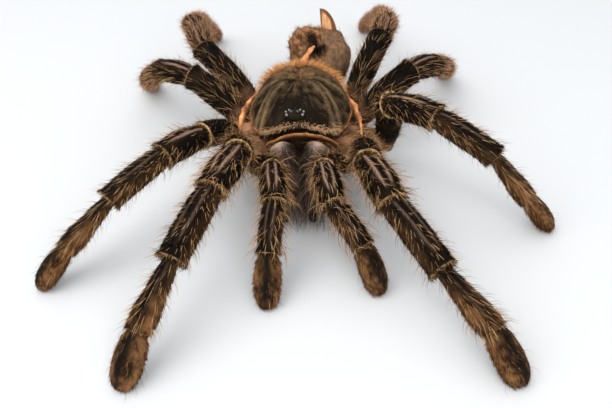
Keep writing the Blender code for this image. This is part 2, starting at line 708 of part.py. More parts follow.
def carapace_edge(angle):
    """Distance from the carapace's middle to its edge, by angle from straight ahead, and the edge's height."""
    turn = abs((angle + 180) % 360 - 180)
    reach = read_curve(CARAPACE_EDGE, turn)
    rise = REAR_RISE * smoothstep((turn - REAR_RISE_FROM) / (180 - REAR_RISE_FROM))
    return reach, CARAPACE_RIM_Z + CLYPEUS_ARCH * bell(turn, CLYPEUS_ARCH_SPREAD) + rise


def carapace_height(x, y, share):
    """Height of the carapace's top above its rim's level at a place that is a share of the way to its edge."""
    dome = THORAX_HEIGHT * (1 - share ** THORAX_ROUNDNESS)
    caput = math.hypot((x - TUBERCLE_X) / CAPUT_HALF_WIDTH, (y - CAPUT_CENTRE_Y) / CAPUT_HALF_LENGTH)
    height = dome + CAPUT_HEIGHT * math.exp(-caput ** 4) * (1 - share ** 9)
    height -= FOVEA_DEPTH * bell(x, FOVEA_SPREADS[0]) * bell(y - FOVEA_Y, FOVEA_SPREADS[1])
    away = Vector((abs(x), y - FOVEA_Y, 0))
    if away.length > 0.5:
        heading = math.degrees(math.atan2(away.y, away.x))
        for groove in GROOVE_HEADINGS:
            fade = smoothstep(away.length / GROOVE_START) * (1 - share ** 6)
            sideways = math.radians(heading - groove) * away.length
            height -= GROOVE_DEPTH * fade * bell(sideways, GROOVE_SPREAD)
    return height


def carapace_top(angle, share):
    reach, rim_z = carapace_edge(angle)
    a = math.radians(angle)
    x, y = reach * share * math.sin(a), -reach * share * math.cos(a)
    base = CARAPACE_RIM_Z + (rim_z - CARAPACE_RIM_Z) * share ** (FRONT_EDGE_POWER if y < 0 else REAR_EDGE_POWER)
    return Vector((x, y, base + carapace_height(x, y, share)))


def build_carapace(parent):
    """The shield over the prosoma: a raised head region, a dent where the muscles pull, and radial grooves."""
    angles = [360 * i / CARAPACE_SECTORS for i in range(CARAPACE_SECTORS)]
    loops = [[carapace_top(a, share) for a in angles] for share in CARAPACE_RINGS]
    seat_z = tubercle_seat()
    seat_half_width = TUBERCLE_HALF_WIDTH + TUBERCLE_SEAT_MARGINS[0]
    seat_half_length = TUBERCLE_HALF_LENGTH + TUBERCLE_SEAT_MARGINS[1]
    for loop in loops:
        for p in loop:
            if abs(p.x - TUBERCLE_X) < seat_half_width and abs(p.y - TUBERCLE_Y) < seat_half_length:
                p.z = min(p.z, seat_z)
    under = []
    for share in CARAPACE_UNDER_RINGS:
        loop = []
        for a in angles:
            reach, rim_z = carapace_edge(a)
            level = CARAPACE_RIM_Z + (rim_z - CARAPACE_RIM_Z) * smoothstep((share - 0.6) / 0.35)
            turn = math.radians(a)
            loop.append(Vector((reach * share * math.sin(turn), -reach * share * math.cos(turn), level)))
        under.append(loop)
    loops += under
    centre = [Vector((0, 0, CARAPACE_RIM_Z + carapace_height(0, 0, 0))), Vector((0, 0, CARAPACE_RIM_Z))]
    for p in loops[len(CARAPACE_RINGS) - 1]:
        p.z += CARAPACE_LIP
    points = [p for loop in loops for p in loop] + centre
    count = CARAPACE_SECTORS
    top_pole, under_pole = len(points) - 2, len(points) - 1
    faces = []
    for i in range(count):
        j = (i + 1) % count
        faces.append((top_pole, i, j))
        for k in range(len(loops) - 1):
            faces.append((k * count + i, (k + 1) * count + i, (k + 1) * count + j, k * count + j))
        last = (len(loops) - 1) * count
        faces.append((under_pole, last + j, last + i))
    add_object("carapace", points, faces, "carapace", parent)


def tubercle_seat():
    """Level of the flat on the carapace that the eye tubercle sits on."""
    return CARAPACE_RIM_Z + carapace_height(TUBERCLE_X, TUBERCLE_Y, TUBERCLE_SEAT_SHARE) - TUBERCLE_SEAT_DROP


def build_tubercle(parent):
    """The low mound with the eight eyes."""
    foot_z = tubercle_seat() + GAP
    rings = []
    for rise, share in TUBERCLE_RINGS:
        loop = []
        for i in range(TUBERCLE_SIDES):
            a = 2 * math.pi * i / TUBERCLE_SIDES
            loop.append(Vector((TUBERCLE_X + TUBERCLE_HALF_WIDTH * share * math.cos(a),
                                TUBERCLE_Y + TUBERCLE_HALF_LENGTH * share * math.sin(a),
                                foot_z + TUBERCLE_HEIGHT * rise)))
        rings.append(loop)
    mound = add_object("eye_tubercle", *loft(rings), "eye", parent)
    eyes = []
    for side in (-1, 1):
        for out, ahead, rise, radius in EYES.values():
            level = foot_z + TUBERCLE_HEIGHT * rise - EYE_SUNK
            centre = Vector((TUBERCLE_X + side * out, TUBERCLE_Y - ahead, level))
            eyes.append(add_ball("eye", centre, radius))
    join(mound, eyes)


def add_ball(name, centre, radius):
    body = bmesh.new()
    bmesh.ops.create_icosphere(body, subdivisions=1, radius=radius)
    points = [v.co + centre for v in body.verts]
    faces = [tuple(v.index for v in f.verts) for f in body.faces]
    body.free()
    return add_object(name, points, faces, "eye")


def build_chelicerae(parent):
    """The two jaws under the front of the carapace, each with its folded fang."""
    for side, mirror in (("right", -1), ("left", 1)):
        rings = []
        for x, y, z, half_width, half_height, lean in CHELICERA_SECTIONS:
            normal = direction(-90, -lean)
            centre = Vector((CHELICERA_SHIFT + mirror * x, y, z))
            rings.append(ring(centre, normal, half_width, half_height, CHELICERA_SIDES))
        add_object(f"chelicera_{side}", *loft(rings), "chelicera", parent)
        line = [Vector((CHELICERA_SHIFT + mirror * x, y, z)) for x, y, z in FANG_POINTS]
        rings = []
        for i, (centre, radius) in enumerate(zip(line, FANG_RADII)):
            before, after = line[max(i - 1, 0)], line[min(i + 1, len(line) - 1)]
            normal = (after - before).normalized()
            across = Vector((mirror, 0, 0))
            rise = across.cross(normal).normalized()
            loop = []
            for k in range(FANG_SIDES):
                a = 2 * math.pi * k / FANG_SIDES
                loop.append(centre + across * (radius * math.cos(a)) + rise * (radius * math.sin(a)))
            rings.append(loop)
        add_object(f"fang_{side}", *loft(rings), "fang", parent)


def chelicera_surface(mirror, place, angle):
    """A place on a jaw's skin between two of its cross-sections, with its outward direction and lie."""
    k = int(place)
    sections = []
    for x, y, z, half_width, half_height, lean in CHELICERA_SECTIONS[k:k + 2]:
        normal = direction(-90, -lean)
        rise = Vector((1, 0, 0)).cross(normal).normalized()
        rise = rise if rise.z > 0 else -rise
        a = math.radians(angle)
        way = Vector((1, 0, 0)) * (half_width * math.cos(a)) + rise * (half_height * math.sin(a))
        sections.append((Vector((CHELICERA_SHIFT + mirror * x, y, z)) + way, way.normalized()))
    (near, near_out), (far, far_out) = sections
    share = place - k
    out = near_out.lerp(far_out, share).normalized()
    along = (far - near).normalized()
    along = (along - out * along.dot(out)).normalized()
    return near.lerp(far, share), out, along


def abdomen_point(heading, pitch):
    """A place on the abdomen's wrinkled skin, by its direction from the middle."""
    way = direction(heading, pitch)
    depth = 0.0
    for fold_heading, fold_pitch, fold_depth, spread in ABDOMEN_FOLDS.values():
        depth += fold_depth * bell(angle_apart(way, direction(fold_heading, fold_pitch)), spread)
    ripple = math.sin(math.radians(heading * ABDOMEN_RIPPLES + pitch * 2)) * math.cos(math.radians(pitch))
    depth += ABDOMEN_RIPPLE_DEPTH * ripple
    size = ABDOMEN_HALF_SIZE
    skin = Vector((way.x * size.x, way.y * size.y, way.z * size.z))
    return ABDOMEN_CENTRE + skin - way * depth


def build_abdomen(parent):
    """The fallen-in sac. The fold of skin that stands up behind it is fused on with the coat."""
    pitches = [-90 + 180 * k / (ABDOMEN_RINGS + 1) for k in range(1, ABDOMEN_RINGS + 1)]
    headings = [360 * i / ABDOMEN_SECTORS for i in range(ABDOMEN_SECTORS)]
    loops = [[abdomen_point(h, p) for h in headings] for p in pitches]
    points = [p for loop in loops for p in loop] + [abdomen_point(0, -90), abdomen_point(0, 90)]
    count = ABDOMEN_SECTORS
    low, high = len(points) - 2, len(points) - 1
    faces = []
    for i in range(count):
        j = (i + 1) % count
        faces.append((low, j, i))
        for k in range(len(loops) - 1):
            faces.append((k * count + i, k * count + j, (k + 1) * count + j, (k + 1) * count + i))
        last = (len(loops) - 1) * count
        faces.append((high, last + i, last + j))
    add_object("abdomen", points, faces, "abdomen", parent)


def flap_shape():
    """Points and faces of a leaf-shaped fold of dry skin, straight on one side and cupped towards the front."""
    lean = direction(90, 90 - FLAP_LEAN)
    front = Vector((0, -1, 0))
    rings = []
    for rise, cup in FLAP_LEVELS:
        turn = max(0, rise - FLAP_STRAIGHT_SHARE) / (1 - FLAP_STRAIGHT_SHARE)
        half = FLAP_WIDTH / 2 * math.sqrt(1 - turn ** 2)
        shift = Vector((half - FLAP_SLANT * max(rise, 0), 0, 0))
        centre = Vector(FLAP_ROOT) + lean * (FLAP_HEIGHT * rise) + shift
        thick = FLAP_THICKNESS * (1.0 if rise < FLAP_TIP_FROM else FLAP_TIP_THICKNESS_SHARE)
        faces = []
        for side in (0.5, -0.5):
            row = []
            for share in FLAP_ACROSS:
                ahead = FLAP_CUP_DEPTH * cup * (share * share - 0.5) + side * thick
                row.append(centre + Vector((half * share, 0, 0)) + front * ahead)
            faces.append(row)
        rings.append(faces[0] + faces[1][::-1])
    return loft(rings)


def build_pedicel(parent):
    """The narrow waist between the prosoma and the abdomen."""
    start = Vector((0.0, CORE_HALF_LENGTH + GAP, PEDICEL_START_Z))
    end = Vector(PEDICEL_END)
    rings = []
    for share, width_share, height_share in PEDICEL_RINGS:
        normal = (end - start).normalized() if share else Vector((0, 1, 0))
        rings.append(ring(start.lerp(end, share), normal, PEDICEL_RADIUS * width_share,
                          PEDICEL_RADIUS * height_share, PEDICEL_SIDES))
    add_object("pedicel", *loft(rings), "membrane", parent)


def build_spinnerets(parent):
    """The pair of long, three-part spinnerets at the abdomen's far end."""
    for side, heading in SPINNERET_HEADINGS.items():
        seat = abdomen_point(heading, SPINNERET_PITCH)
        way = direction(heading, SPINNERET_PITCH)
        at = seat + way * SPINNERET_SEAT_GAP
        radius = SPINNERET_RADIUS
        rings = [ring(at, way, radius, radius, SPINNERET_SIDES)]
        for length in SPINNERET_LENGTHS:
            near = radius * SPINNERET_END_SHARE
            rings.append(ring(at + way * (length * SPINNERET_END_FROM), way, near, near, SPINNERET_SIDES))
            at = at + way * length
            radius *= SPINNERET_TAPER
            rings.append(ring(at, way, radius, radius, SPINNERET_SIDES))
            way = (way + UP * SPINNERET_TURN_UP).normalized()
        tip = radius * SPINNERET_TIP_SHARE
        rings.append(ring(at + way * SPINNERET_TIP_LENGTH, way, tip, tip, SPINNERET_SIDES))
        add_object(f"spinneret_{side}", *loft(rings), "limb", parent)


def settle_on_origin(parent):
    """Moves the whole spider so that the middle of its bounding box stands over the origin."""
    bpy.context.view_layer.update()
    low, high = Vector((1, 1, 1)), Vector((-1, -1, -1))
    for made in parent.children:
        for v in made.data.vertices:
            p = made.matrix_world @ v.co
            low = Vector(map(min, low, p))
            high = Vector(map(max, high, p))
    parent.location = (-(low.x + high.x) / 2, -(low.y + high.y) / 2, -low.z)


def main():
    for old in list(bpy.data.objects):
        bpy.data.objects.remove(old)
    spider = bpy.data.objects.new("spider", None)
    bpy.context.scene.collection.objects.link(spider)
    build_core(spider)
    build_sternum(spider)
    build_carapace(spider)
    build_tubercle(spider)
    build_chelicerae(spider)
    build_pedicel(spider)
    build_abdomen(spider)
    build_spinnerets(spider)
    limbs = [Limb(name) for name in POSES]
    for limb in limbs:
        limb.build(spider)
    coat = Coat(spider)
    for limb in limbs:
        coat.cover_limb(limb)
    coat.cover_chelicerae()
    coat.cover_abdomen()
    coat.cover_carapace()
    coat.fuse()
    settle_on_origin(spider)


main()
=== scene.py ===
"""The looks of a Chilean rose tarantula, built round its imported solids.

Shapes are worked out in millimetres in the spider's own frame: +Z is up, the spider faces -Y, and its right
side is at -X. world() moves them to the row frame, in metres. Headings are angles seen from above, 0 towards
+X and 90 towards +Y, and pitches are the rise above level, both in degrees.
"""

import math

import bpy
import numpy as np
from mathutils import Matrix, Vector, noise

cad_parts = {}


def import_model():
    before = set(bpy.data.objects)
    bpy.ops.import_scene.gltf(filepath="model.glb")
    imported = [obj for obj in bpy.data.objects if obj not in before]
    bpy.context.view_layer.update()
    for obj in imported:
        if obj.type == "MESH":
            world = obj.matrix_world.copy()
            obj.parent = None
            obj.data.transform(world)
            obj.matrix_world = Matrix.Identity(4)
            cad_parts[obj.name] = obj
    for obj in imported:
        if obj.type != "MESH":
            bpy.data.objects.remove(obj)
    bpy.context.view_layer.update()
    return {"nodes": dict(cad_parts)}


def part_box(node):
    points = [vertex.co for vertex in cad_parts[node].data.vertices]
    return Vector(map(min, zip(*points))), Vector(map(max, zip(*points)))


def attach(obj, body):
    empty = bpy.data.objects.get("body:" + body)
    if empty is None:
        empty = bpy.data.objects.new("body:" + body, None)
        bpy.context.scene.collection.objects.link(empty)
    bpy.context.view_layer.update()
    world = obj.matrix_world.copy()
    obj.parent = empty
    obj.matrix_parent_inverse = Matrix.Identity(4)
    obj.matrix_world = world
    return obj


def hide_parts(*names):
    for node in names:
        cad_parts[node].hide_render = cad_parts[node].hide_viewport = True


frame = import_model()

MM = 0.001
UP = np.array([0.0, 0.0, 1.0])
ACROSS = np.array([1.0, 0.0, 0.0])
BACKWARDS = np.array([0.0, 1.0, 0.0])
SEED = 5

# Where the fangs' and the waist's solids say that the spider stands in the row frame.
JAW_SHIFT = 0.05
WAIST_START_Y = 9.6
FANGS_X = (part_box("fang_right")[0][0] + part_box("fang_left")[1][0]) / 2
PEDICEL_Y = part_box("pedicel")[0][1]
SHIFT = np.array([FANGS_X / MM - JAW_SHIFT, PEDICEL_Y / MM - WAIST_START_Y, 0.0])

# The camera, placed as for the photograph, with its lens, the width of its picture and how near it sees.
CAMERA_AT = (4.8, -96.1, 66.7)
CAMERA_HEADING = 92.66
CAMERA_PITCH = -39.2
CAMERA_ROLL = -2.2
CAMERA_LENS = 35.0
CAMERA_SENSOR = 36
CAMERA_NEAR = 0.005

# The studio, in metres and watts. A light has a place, a size, a power and a colour.
FLOOR_SIZE = 6
FLOOR_Z = -0.0001
FLOOR_COLOUR = (0.82, 0.835, 0.85, 1)
LIGHTS = {"key": ((-0.33, -0.24, 0.50), 0.7, 2.3, (1.0, 0.985, 0.96)),
          "overhead": ((-0.04, 0.10, 0.60), 0.9, 1.3, (1, 1, 1)),
          "front_fill": ((0.20, -0.60, 0.32), 0.45, 1.9, (1, 1, 1))}
SKY_COLOUR = (0.96, 0.98, 1.0, 1)
SKY_STRENGTH = 0.52

# Limbs: the same roots, lengths, thicknesses and pose as the solids.
LIMBS = {
    "palp": {"root": (7.8, -12.6, 6.8), "facet": -46, "coxa_z": 6.2, "inner": 1.0,
             "lengths": (11.1, 7.0, 7.55, 8.1), "radii": (1.65, 1.95, 1.75, 2.05)},
    "leg_1": {"root": (11.2, -7.5, 6.9), "facet": -25, "coxa_z": 6.9, "inner": 1.4,
              "lengths": (14.9, 9.3, 12.1, 10.1, 7.7), "radii": (2.35, 2.5, 2.2, 1.9, 2.2)},
    "leg_2": {"root": (12.2, -1.8, 6.9), "facet": -7, "coxa_z": 6.9, "inner": 1.9,
              "lengths": (12.9, 8.6, 10.6, 9.9, 7.6), "radii": (2.3, 2.4, 2.05, 1.8, 2.05)},
    "leg_3": {"root": (11.4, 3.2, 7.0), "facet": 13, "coxa_z": 6.9, "inner": 1.9,
              "lengths": (12.7, 7.5, 7.7, 10.5, 7.6), "radii": (2.45, 2.35, 2.05, 1.65, 1.85)},
    "leg_4": {"root": (9.6, 8.4, 7.2), "facet": 37, "coxa_z": 7.0, "inner": 1.8,
              "lengths": (16.6, 8.2, 11.7, 14.9, 8.7), "radii": (2.45, 2.4, 2.1, 1.6, 1.85)},
}
LEG_SEGMENTS = ("coxa", "femur", "patella", "tibia", "metatarsus", "tarsus")
PALP_SEGMENTS = ("coxa", "femur", "patella", "tibia", "tarsus")
POSES = {
    "palp_right": ((-65, 32), (-84, -10), (-98, -41), -93),
    "palp_left": ((-112, 33), (-79, -16), (-50, -29), -47),
    "leg_1_right": ((-80, 32), (-109, -3), (-111, -16), (-116, -31), -114),
    "leg_1_left": ((-91, 26), (-70, -7), (-57, -19), (-55, -16), -51),
    "leg_2_right": ((-111, 29), (-124, 6), (-136, -17), (-140, -32), -152),
    "leg_2_left": ((-93, 61), (-41, 5), (-29, -23), (-13, -49), 0),
    "leg_3_right": ((155, 33), (154, -2), (130, -33), (110, -31), 105),
    "leg_3_left": ((25, 35), (45, -11), (61, -26), (75, -28), 80),
    "leg_4_right": ((136, 25), (113, 19), (94, -21), (92, -28), 92),
    "leg_4_left": ((64, 28), (76, 0), (92, -14), (96, -26), 99),
}
STRETCHED_ROOTS = {"leg_2_left": (15.8, -3.4, 5.8)}
TARSUS_TIP_Z = 0.22
# How deep a coxa starts inside the core, and how thick it ends beside the next segment.
COXA_SUNK = 0.8
COXA_OUTER_SHARE = 0.88
# The share of a segment over which its skin turns into a bend, and how much thinner skin is than a solid.
BEND_SHARE = 0.3
SKIN_INSET = 0.97
LIMB_SIDES = 48
TOP_CROWDING = 0.26
SKIN_CLEARANCE = 0.04
SEGMENT_ROWS = {"coxa": 6, "femur": 15, "patella": 12, "tibia": 13, "metatarsus": 14, "tarsus": 14}
SEGMENT_HEIGHT = {"coxa": 1.0, "femur": 1.0, "patella": 0.92, "tibia": 0.95, "metatarsus": 0.86,
                  "tarsus": 0.78}
SEGMENT_BOW = {"coxa": 0.0, "femur": 0.5, "patella": 0.35, "tibia": 0.2, "metatarsus": 0.0, "tarsus": 0.15}
# Thickness along each segment: share of its length, and share of its radius.
PROFILES = {
    "coxa": ((0.0, 0.0), (0.45, 0.6), (0.8, 0.95), (0.93, 1.0), (1.0, 0.92)),
    "femur": ((0.0, 0.78), (0.06, 0.84), (0.15, 0.88), (0.5, 1.0), (0.9, 0.97), (1.0, 1.0)),
    "patella": ((0.0, 0.76), (0.16, 0.94), (0.5, 1.04), (0.90, 0.96), (1.0, 0.98)),
    "tibia": ((0.0, 0.78), (0.12, 0.96), (0.5, 1.0), (0.93, 0.98), (1.0, 1.0)),
    "metatarsus": ((0.0, 0.64), (0.40, 0.84), (0.75, 1.04), (0.95, 0.98), (1.0, 0.86)),
    "tarsus": ((0.0, 0.62), (0.14, 0.90), (0.45, 1.02), (0.74, 0.96), (0.92, 0.72), (1.0, 0.42)),
}
RIM_FLARE = 0.05
# The pale rim at the far end of a segment: how deep it is, and how plain.
RIMS = {"femur": (0.25, 1.0), "patella": (0.17, 0.85), "tibia": (0.16, 0.85), "metatarsus": (0.13, 0.7)}
# Extra rings of a limb: the share of the first, and how far the last ones are from the end of a segment.
# Then how narrow the last ring is, and the two that fold into the joint, which have marks of their own.
FIRST_ROW = 0.03
RIM_ROWS = (0.8, 0.5, 0.32, 0.22, 0.12, 0.03)
END_PINCH = 0.93
RIM_INSIDE = 0.89
JOINT_PINCH = 0.74
IN_JOINT = -0.01
FAR_AWAY = 99.0
# The two bald stripes along the top of a segment: how far round from its top, how wide, in degrees, and
# how plain on each segment.
STRIPE_ANGLE = 19
STRIPE_SPREAD = 4.6
STRIPE_STRENGTH = {"coxa": 0.0, "femur": 0.0, "patella": 1.0, "tibia": 0.3, "metatarsus": 0.15,
                   "tarsus": 0.0}
DARK_STRIPE_SPREAD = 20
# The limbs with long curling hairs.
CURLY_KINDS = ("palp", "leg_1")
# The hind legs, and how fluffy and brown each of their segments is.
FLUFF = {"leg_3": {"tibia": 0.5, "metatarsus": 0.9, "tarsus": 1.0},
         "leg_4": {"patella": 0.55, "tibia": 0.9, "metatarsus": 1.0, "tarsus": 1.0}}
REAR_COXA_FLESH = 0.35
# Claws: how far back and aside they start, how high, and how they run down to a point.
CLAW_BACK = 0.35
CLAW_LIFT = 0.45
CLAW_BEND = 0.75
CLAW_LENGTH = 1.0
CLAW_RADIUS = 0.13
CLAW_POINT = 0.015
CLAW_CLEARANCE = 0.12

# The prosoma.
CARAPACE_RIM_Z = 10.0
CLYPEUS_ARCH = 3.3
CLYPEUS_ARCH_SPREAD = 28
REAR_RISE = 3.8
# Heights of the dome and of the head region on it, and how flat their tops are.
THORAX_HEIGHT = 5.3
THORAX_POWER = 3.2
CAPUT_HEIGHT = 0.9
CAPUT_POWER = 9
CAPUT_CENTRE_Y = -5.0
CAPUT_HALF_WIDTH = 5.4
CAPUT_HALF_LENGTH = 6.6
FOVEA_Y = 4.8
FOVEA_DEPTH = 0.9
FOVEA_HALF_WIDTH = 1.9
FOVEA_HALF_LENGTH = 0.9
GROOVE_DEPTH = 0.5
GROOVE_SPREAD = 0.75
DEGREES_IN_RADIAN = 57.3
GROOVE_HEADINGS = (-28, 8, 48)
# Half widths of the head region, by how far forward, and the headings of the pale rays behind it.
CAPUT_X = -0.4
CAPUT_HALF_WIDTHS = ((-10.5, 6.0), (-7.0, 5.4), (-3.0, 4.0), (0.5, 2.1), (2.5, 0.9), (3.5, 0.1))
RAY_HEADINGS = (-14, 24, 62)
CAPUT_DARK_FROM = -2.0
CAPUT_DARK_ARCH = 0.12
RIDGE_HEIGHT = 0.28
BROW_HALF_WIDTH = 7.4
# How far out the carapace's edge is, by how many degrees it is away from straight ahead.
CARAPACE_EDGE = ((0, 10.7), (18, 10.9), (34, 10.9), (55, 9.9), (75, 9.4), (95, 9.5), (120, 10.1),
                 (145, 11.1), (165, 11.4), (180, 11.2))
CORE_HALF_WIDTH = 6.4
CORE_HALF_LENGTH = 9.3
CORE_SIDES = 48
# Heights of the core's rings, and how wide they are.
CORE_ROWS = ((4.7, 0.3), (4.7, 0.9), (5.6, 0.97), (7.2, 0.98), (9.0, 0.96), (9.7, 0.9), (9.7, 0.3))
# The shield's thickened edge, and how far out the rings under it are.
CARAPACE_LIP = 0.35
UNDER_SHARES = (0.985, 0.94, 0.85)
CARAPACE_COLUMNS = 120
TUBERCLE_X = -0.6
TUBERCLE_Y = -8.4
# How far out the mound's seat in the shield is, and how deep, and how deep the mound and its eyes sit.
TUBERCLE_SEAT_SHARE = 0.68
TUBERCLE_SEAT_DEPTH = 0.1
TUBERCLE_SUNK = 0.25
EYE_SUNK = 0.08
TUBERCLE_HALF_WIDTH = 1.75
TUBERCLE_HALF_LENGTH = 1.15
TUBERCLE_HEIGHT = 0.95
TUBERCLE_SIDES = 28
TUBERCLE_ROWS = ((0.0, 1.08), (0.2, 1.04), (0.5, 0.94), (0.75, 0.78), (0.92, 0.55), (1.0, 0.25))
# Eyes: how far aside, ahead and up on the mound, and their radius.
EYES = {"front_middle": (0.55, 0.35, 0.80, 0.36), "front_side": (1.35, 0.62, 0.35, 0.30),
        "rear_middle": (0.95, -0.38, 0.72, 0.22), "rear_side": (1.50, -0.35, 0.35, 0.26)}
# The lip over the jaws.
HOOD_SHIFT = 0.5
HOOD_HALF_WIDTH = 6.4
HOOD_END_Y = -9.3
HOOD_END_Z = 8.9
HOOD_REACH = 1.6
HOOD_RISE = 3.4
HOOD_ROOT_Y = -7.2
HOOD_THICKNESS = 0.75
HOOD_COLUMNS = 41
HOOD_ROOT_SHARE = 0.62
HOOD_ROOT_DROP = 1.3
# Rows of the lip's top and underside: how far back from its edge, and how thick.
HOOD_TOP = ((0.0, 0.3), (-0.05, 0.9), (0.0, 1.0), (0.25, 0.5), (0.6, 0.4), (1.0, 0.4))
HOOD_UNDERSIDE = ((1.0, 0.4), (0.6, 0.4), (0.25, 0.5), (0.0, 1.0), (-0.05, 0.6))

# Sections of a jaw: x, y, z, half width, half height and lean.
CHELICERA_SECTIONS = ((2.55, -10.1, 8.3, 1.85, 1.6, 0), (2.65, -11.35, 8.7, 2.3, 2.8, 4),
                      (3.0, -12.9, 8.6, 2.7, 3.65, 10), (2.7, -14.8, 7.3, 2.22, 3.4, 20),
                      (2.55, -17.0, 5.9, 2.1, 3.0, 33), (2.45, -18.9, 4.4, 1.85, 2.2, 46),
                      (2.35, -19.9, 3.4, 1.35, 1.3, 55))
JAW_SIDES = 32
# The bald patch on a jaw, pale with a painted highlight: how far it is turned outwards and how wide it is,
# in degrees, and its place and length in numbers of sections.
JAW_BALD_TURN = 16
JAW_BALD_WIDTH = 34
JAW_BALD_PLACE = 1.45
JAW_BALD_LENGTH = 0.75
FANG_POINTS = ((2.4, -20.35, 2.95), (2.4, -20.7, 2.1), (2.35, -20.1, 1.3), (2.3, -18.7, 0.9),
               (2.2, -17.0, 0.8))
FANG_RADII = (0.85, 0.8, 0.6, 0.4, 0.12)

# The folds of soft skin along the right (-1) and left (1) side of the shield, as lines.
BAND_POINTS = {-1: ((-8.6, 7.4, 10.4), (-9.6, 5.0, 10.2), (-10.3, 3.3, 9.8), (-10.9, 0.6, 9.2),
                    (-11.1, -1.6, 8.6), (-10.9, -3.4, 8.2)),
               1: ((8.0, 7.2, 10.4), (9.3, 4.6, 10.0), (10.0, 2.4, 9.7), (10.5, 0.4, 9.3),
                   (11.0, -2.0, 8.8), (11.0, -5.0, 8.2))}
BAND_RADIUS = 0.62

# The fallen-in abdomen. A fold has a heading, a pitch, a depth and a spread in degrees.
ABDOMEN_CENTRE = np.array([3.3, 20.3, 11.2])
ABDOMEN_HALF_SIZE = np.array([6.5, 8.0, 7.3])
ABDOMEN_FOLDS = {
    "front_hollow": (-108, 58, 4.6, 21), "left_lobe": (-20, 26, -0.6, 30), "right_lobe": (178, 42, -0.6, 30),
    "rear_crease": (82, 58, 2.2, 20), "right_pleat": (-160, 6, 1.3, 18), "left_pleat": (20, -4, 1.1, 18),
    "rear_pleat": (120, 10, 1.3, 20), "lower_pleat": (-60, -30, 1.2, 24),
}
ABDOMEN_COLUMNS = 120
ABDOMEN_ROWS = 66
ABDOMEN_RIPPLES = 7
ABDOMEN_RIPPLE_DEPTH = 0.22
# The cavity seen between the lobes, as a fold, and the strip of skin across it.
CAVITIES = ((-97, 48, 2.0, 18), (-136, 68, 1.0, 10))
STRAND_POINTS = ((-0.4, 13.4, 12.4), (0.2, 14.1, 13.6), (0.9, 15.2, 14.3), (1.7, 16.8, 14.8),
                 (2.4, 18.2, 14.9))
STRAND_RADIUS = 0.85
# Where the left lobe's top is pressed flat, as a fold.
LOBE_PRESS = (-28, 60, 1.2, 22)
# The flap that stands up behind, and how much it is cupped.
FLAP_ROOT = (3.9, 22.4, 14.5)
FLAP_HEIGHT = 6.4
FLAP_WIDTH = 3.4
FLAP_SLANT = 0.35
FLAP_STRAIGHT_SHARE = 0.12
FLAP_LEAN = 12
FLAP_CUP = 0.7
FLAP_COLUMNS = 13
# The waist from inside the core to inside the abdomen, and how far it starts and ends in them.
WAIST_END = (1.4, 12.0, 9.6)
WAIST_START_Z = 8.0
WAIST_SUNK = 0.8
WAIST_REACH = (0, 0.9, 0.2)
WAIST_RADII = (1.45, 1.35, 1.15, 1.05, 1.1, 1.2, 1.25)
SPINNERET_HEADINGS = {"right": 118, "left": 62}
SPINNERET_PITCH = -18
SPINNERET_LENGTHS = (2.4, 1.8, 1.5)
SPINNERET_RADIUS = 0.95
SPINNERET_SWELLS = ((0.08, 0.9), (0.3, 1.0), (0.7, 1.0), (0.93, 0.94))
SPINNERET_NECK = 0.74
SPINNERET_TAPER = 0.78

# Hairs: how uneven their lengths and lifts are, how deep they are rooted, how much thinner they get, and the
# painted shade that darkens their roots. The jaws' and the abdomen's lie towards one direction.
LENGTH_SPREAD = (0.65, 1.25)
LIFT_SPREAD = 7
ROOT_DEPTH = 0.12
TAPER = 0.6
ROOT_SHADE_PAINTED = 0.7
FLOOR_CLEARANCE = 0.03
JAW_HAIR_LIE = np.array([0.0, -0.25, -1.0])
ABDOMEN_HAIR_LIE = np.array([0.0, 0.6, 0.4])

# The layout of the hairs' places: a square of cells, the limbs in the first ten, with a margin in each.
CELLS_ACROSS = 4
CELL_MARGIN = 0.04
PATCH_HALF = 0.0015
JAW_RIGHT_CELL = (2, 2)
CORE_CELL = (3, 2)
CARAPACE_CELL = (0, 3)
ABDOMEN_CELL = (1, 3)
# The left jaw shares a leg's cell, because none of that leg's hairs are in the jaws' piece.
JAW_LEFT_CELL = (3, 1)
MOST_TRIANGLES = 180000
# A tube whose axis rises by more than this takes its width from another direction.
STEEP = 0.95

# How fine the noise of the materials is.
MOTTLE_DETAIL = 4.0
BUMP_DETAIL = 5.0
PLAIN_DETAIL = 2.0

# Colours of skin and coat, as linear red, green and blue.
VELVET = np.array([0.0065, 0.0045, 0.0028])
VELVET_WARM = np.array([0.036, 0.019, 0.0085])
BROWN = np.array([0.080, 0.036, 0.013])
GOLDEN = np.array([1.0, 0.54, 0.24])
TAWNY = np.array([0.31, 0.145, 0.056])
RIM = np.array([0.98, 0.58, 0.27])
# Rust red of the feet and soles; also the painted shadow on the inner side of the folds beside the shield.
RUST_AND_SHADOW = np.array([0.115, 0.046, 0.015])
BALD = np.array([0.380, 0.232, 0.168])
FLESH = np.array([0.740, 0.370, 0.200])
SALMON = np.array([0.98, 0.41, 0.165])
PEACH = np.array([1.0, 0.43, 0.15])
FLUFF_TAN = np.array([1.0, 0.52, 0.30])
BROW = np.array([1.0, 0.64, 0.39])
LIP = np.array([1.0, 0.44, 0.155])
MEMBRANE = np.array([0.60, 0.245, 0.120])
OLIVE = np.array([0.068, 0.042, 0.021])
OLIVE_REAR = np.array([0.145, 0.078, 0.036])
STREAK = np.array([0.330, 0.222, 0.118])
BLACK = np.array([0.0100, 0.0070, 0.0042])
JAW_SKIN = np.array([0.030, 0.017, 0.010])
JAW_BALD_HIGHLIGHT = np.array([0.550, 0.385, 0.295])
JAW_HAIR = np.array([0.50, 0.34, 0.25])
ABDOMEN_SKIN = np.array([0.300, 0.140, 0.065])
ABDOMEN_LOBE = np.array([0.225, 0.130, 0.073])
ABDOMEN_HAIR = np.array([0.60, 0.32, 0.14])
FLAP_TAN = np.array([1.0, 0.56, 0.27])
FLAP_EDGE = np.array([0.240, 0.096, 0.038])
EYE_DARK = (0.004, 0.003, 0.004)
EYE_PALE = (0.30, 0.27, 0.24)
EYE_OUTLINE = (0.01, 0.008, 0.007)


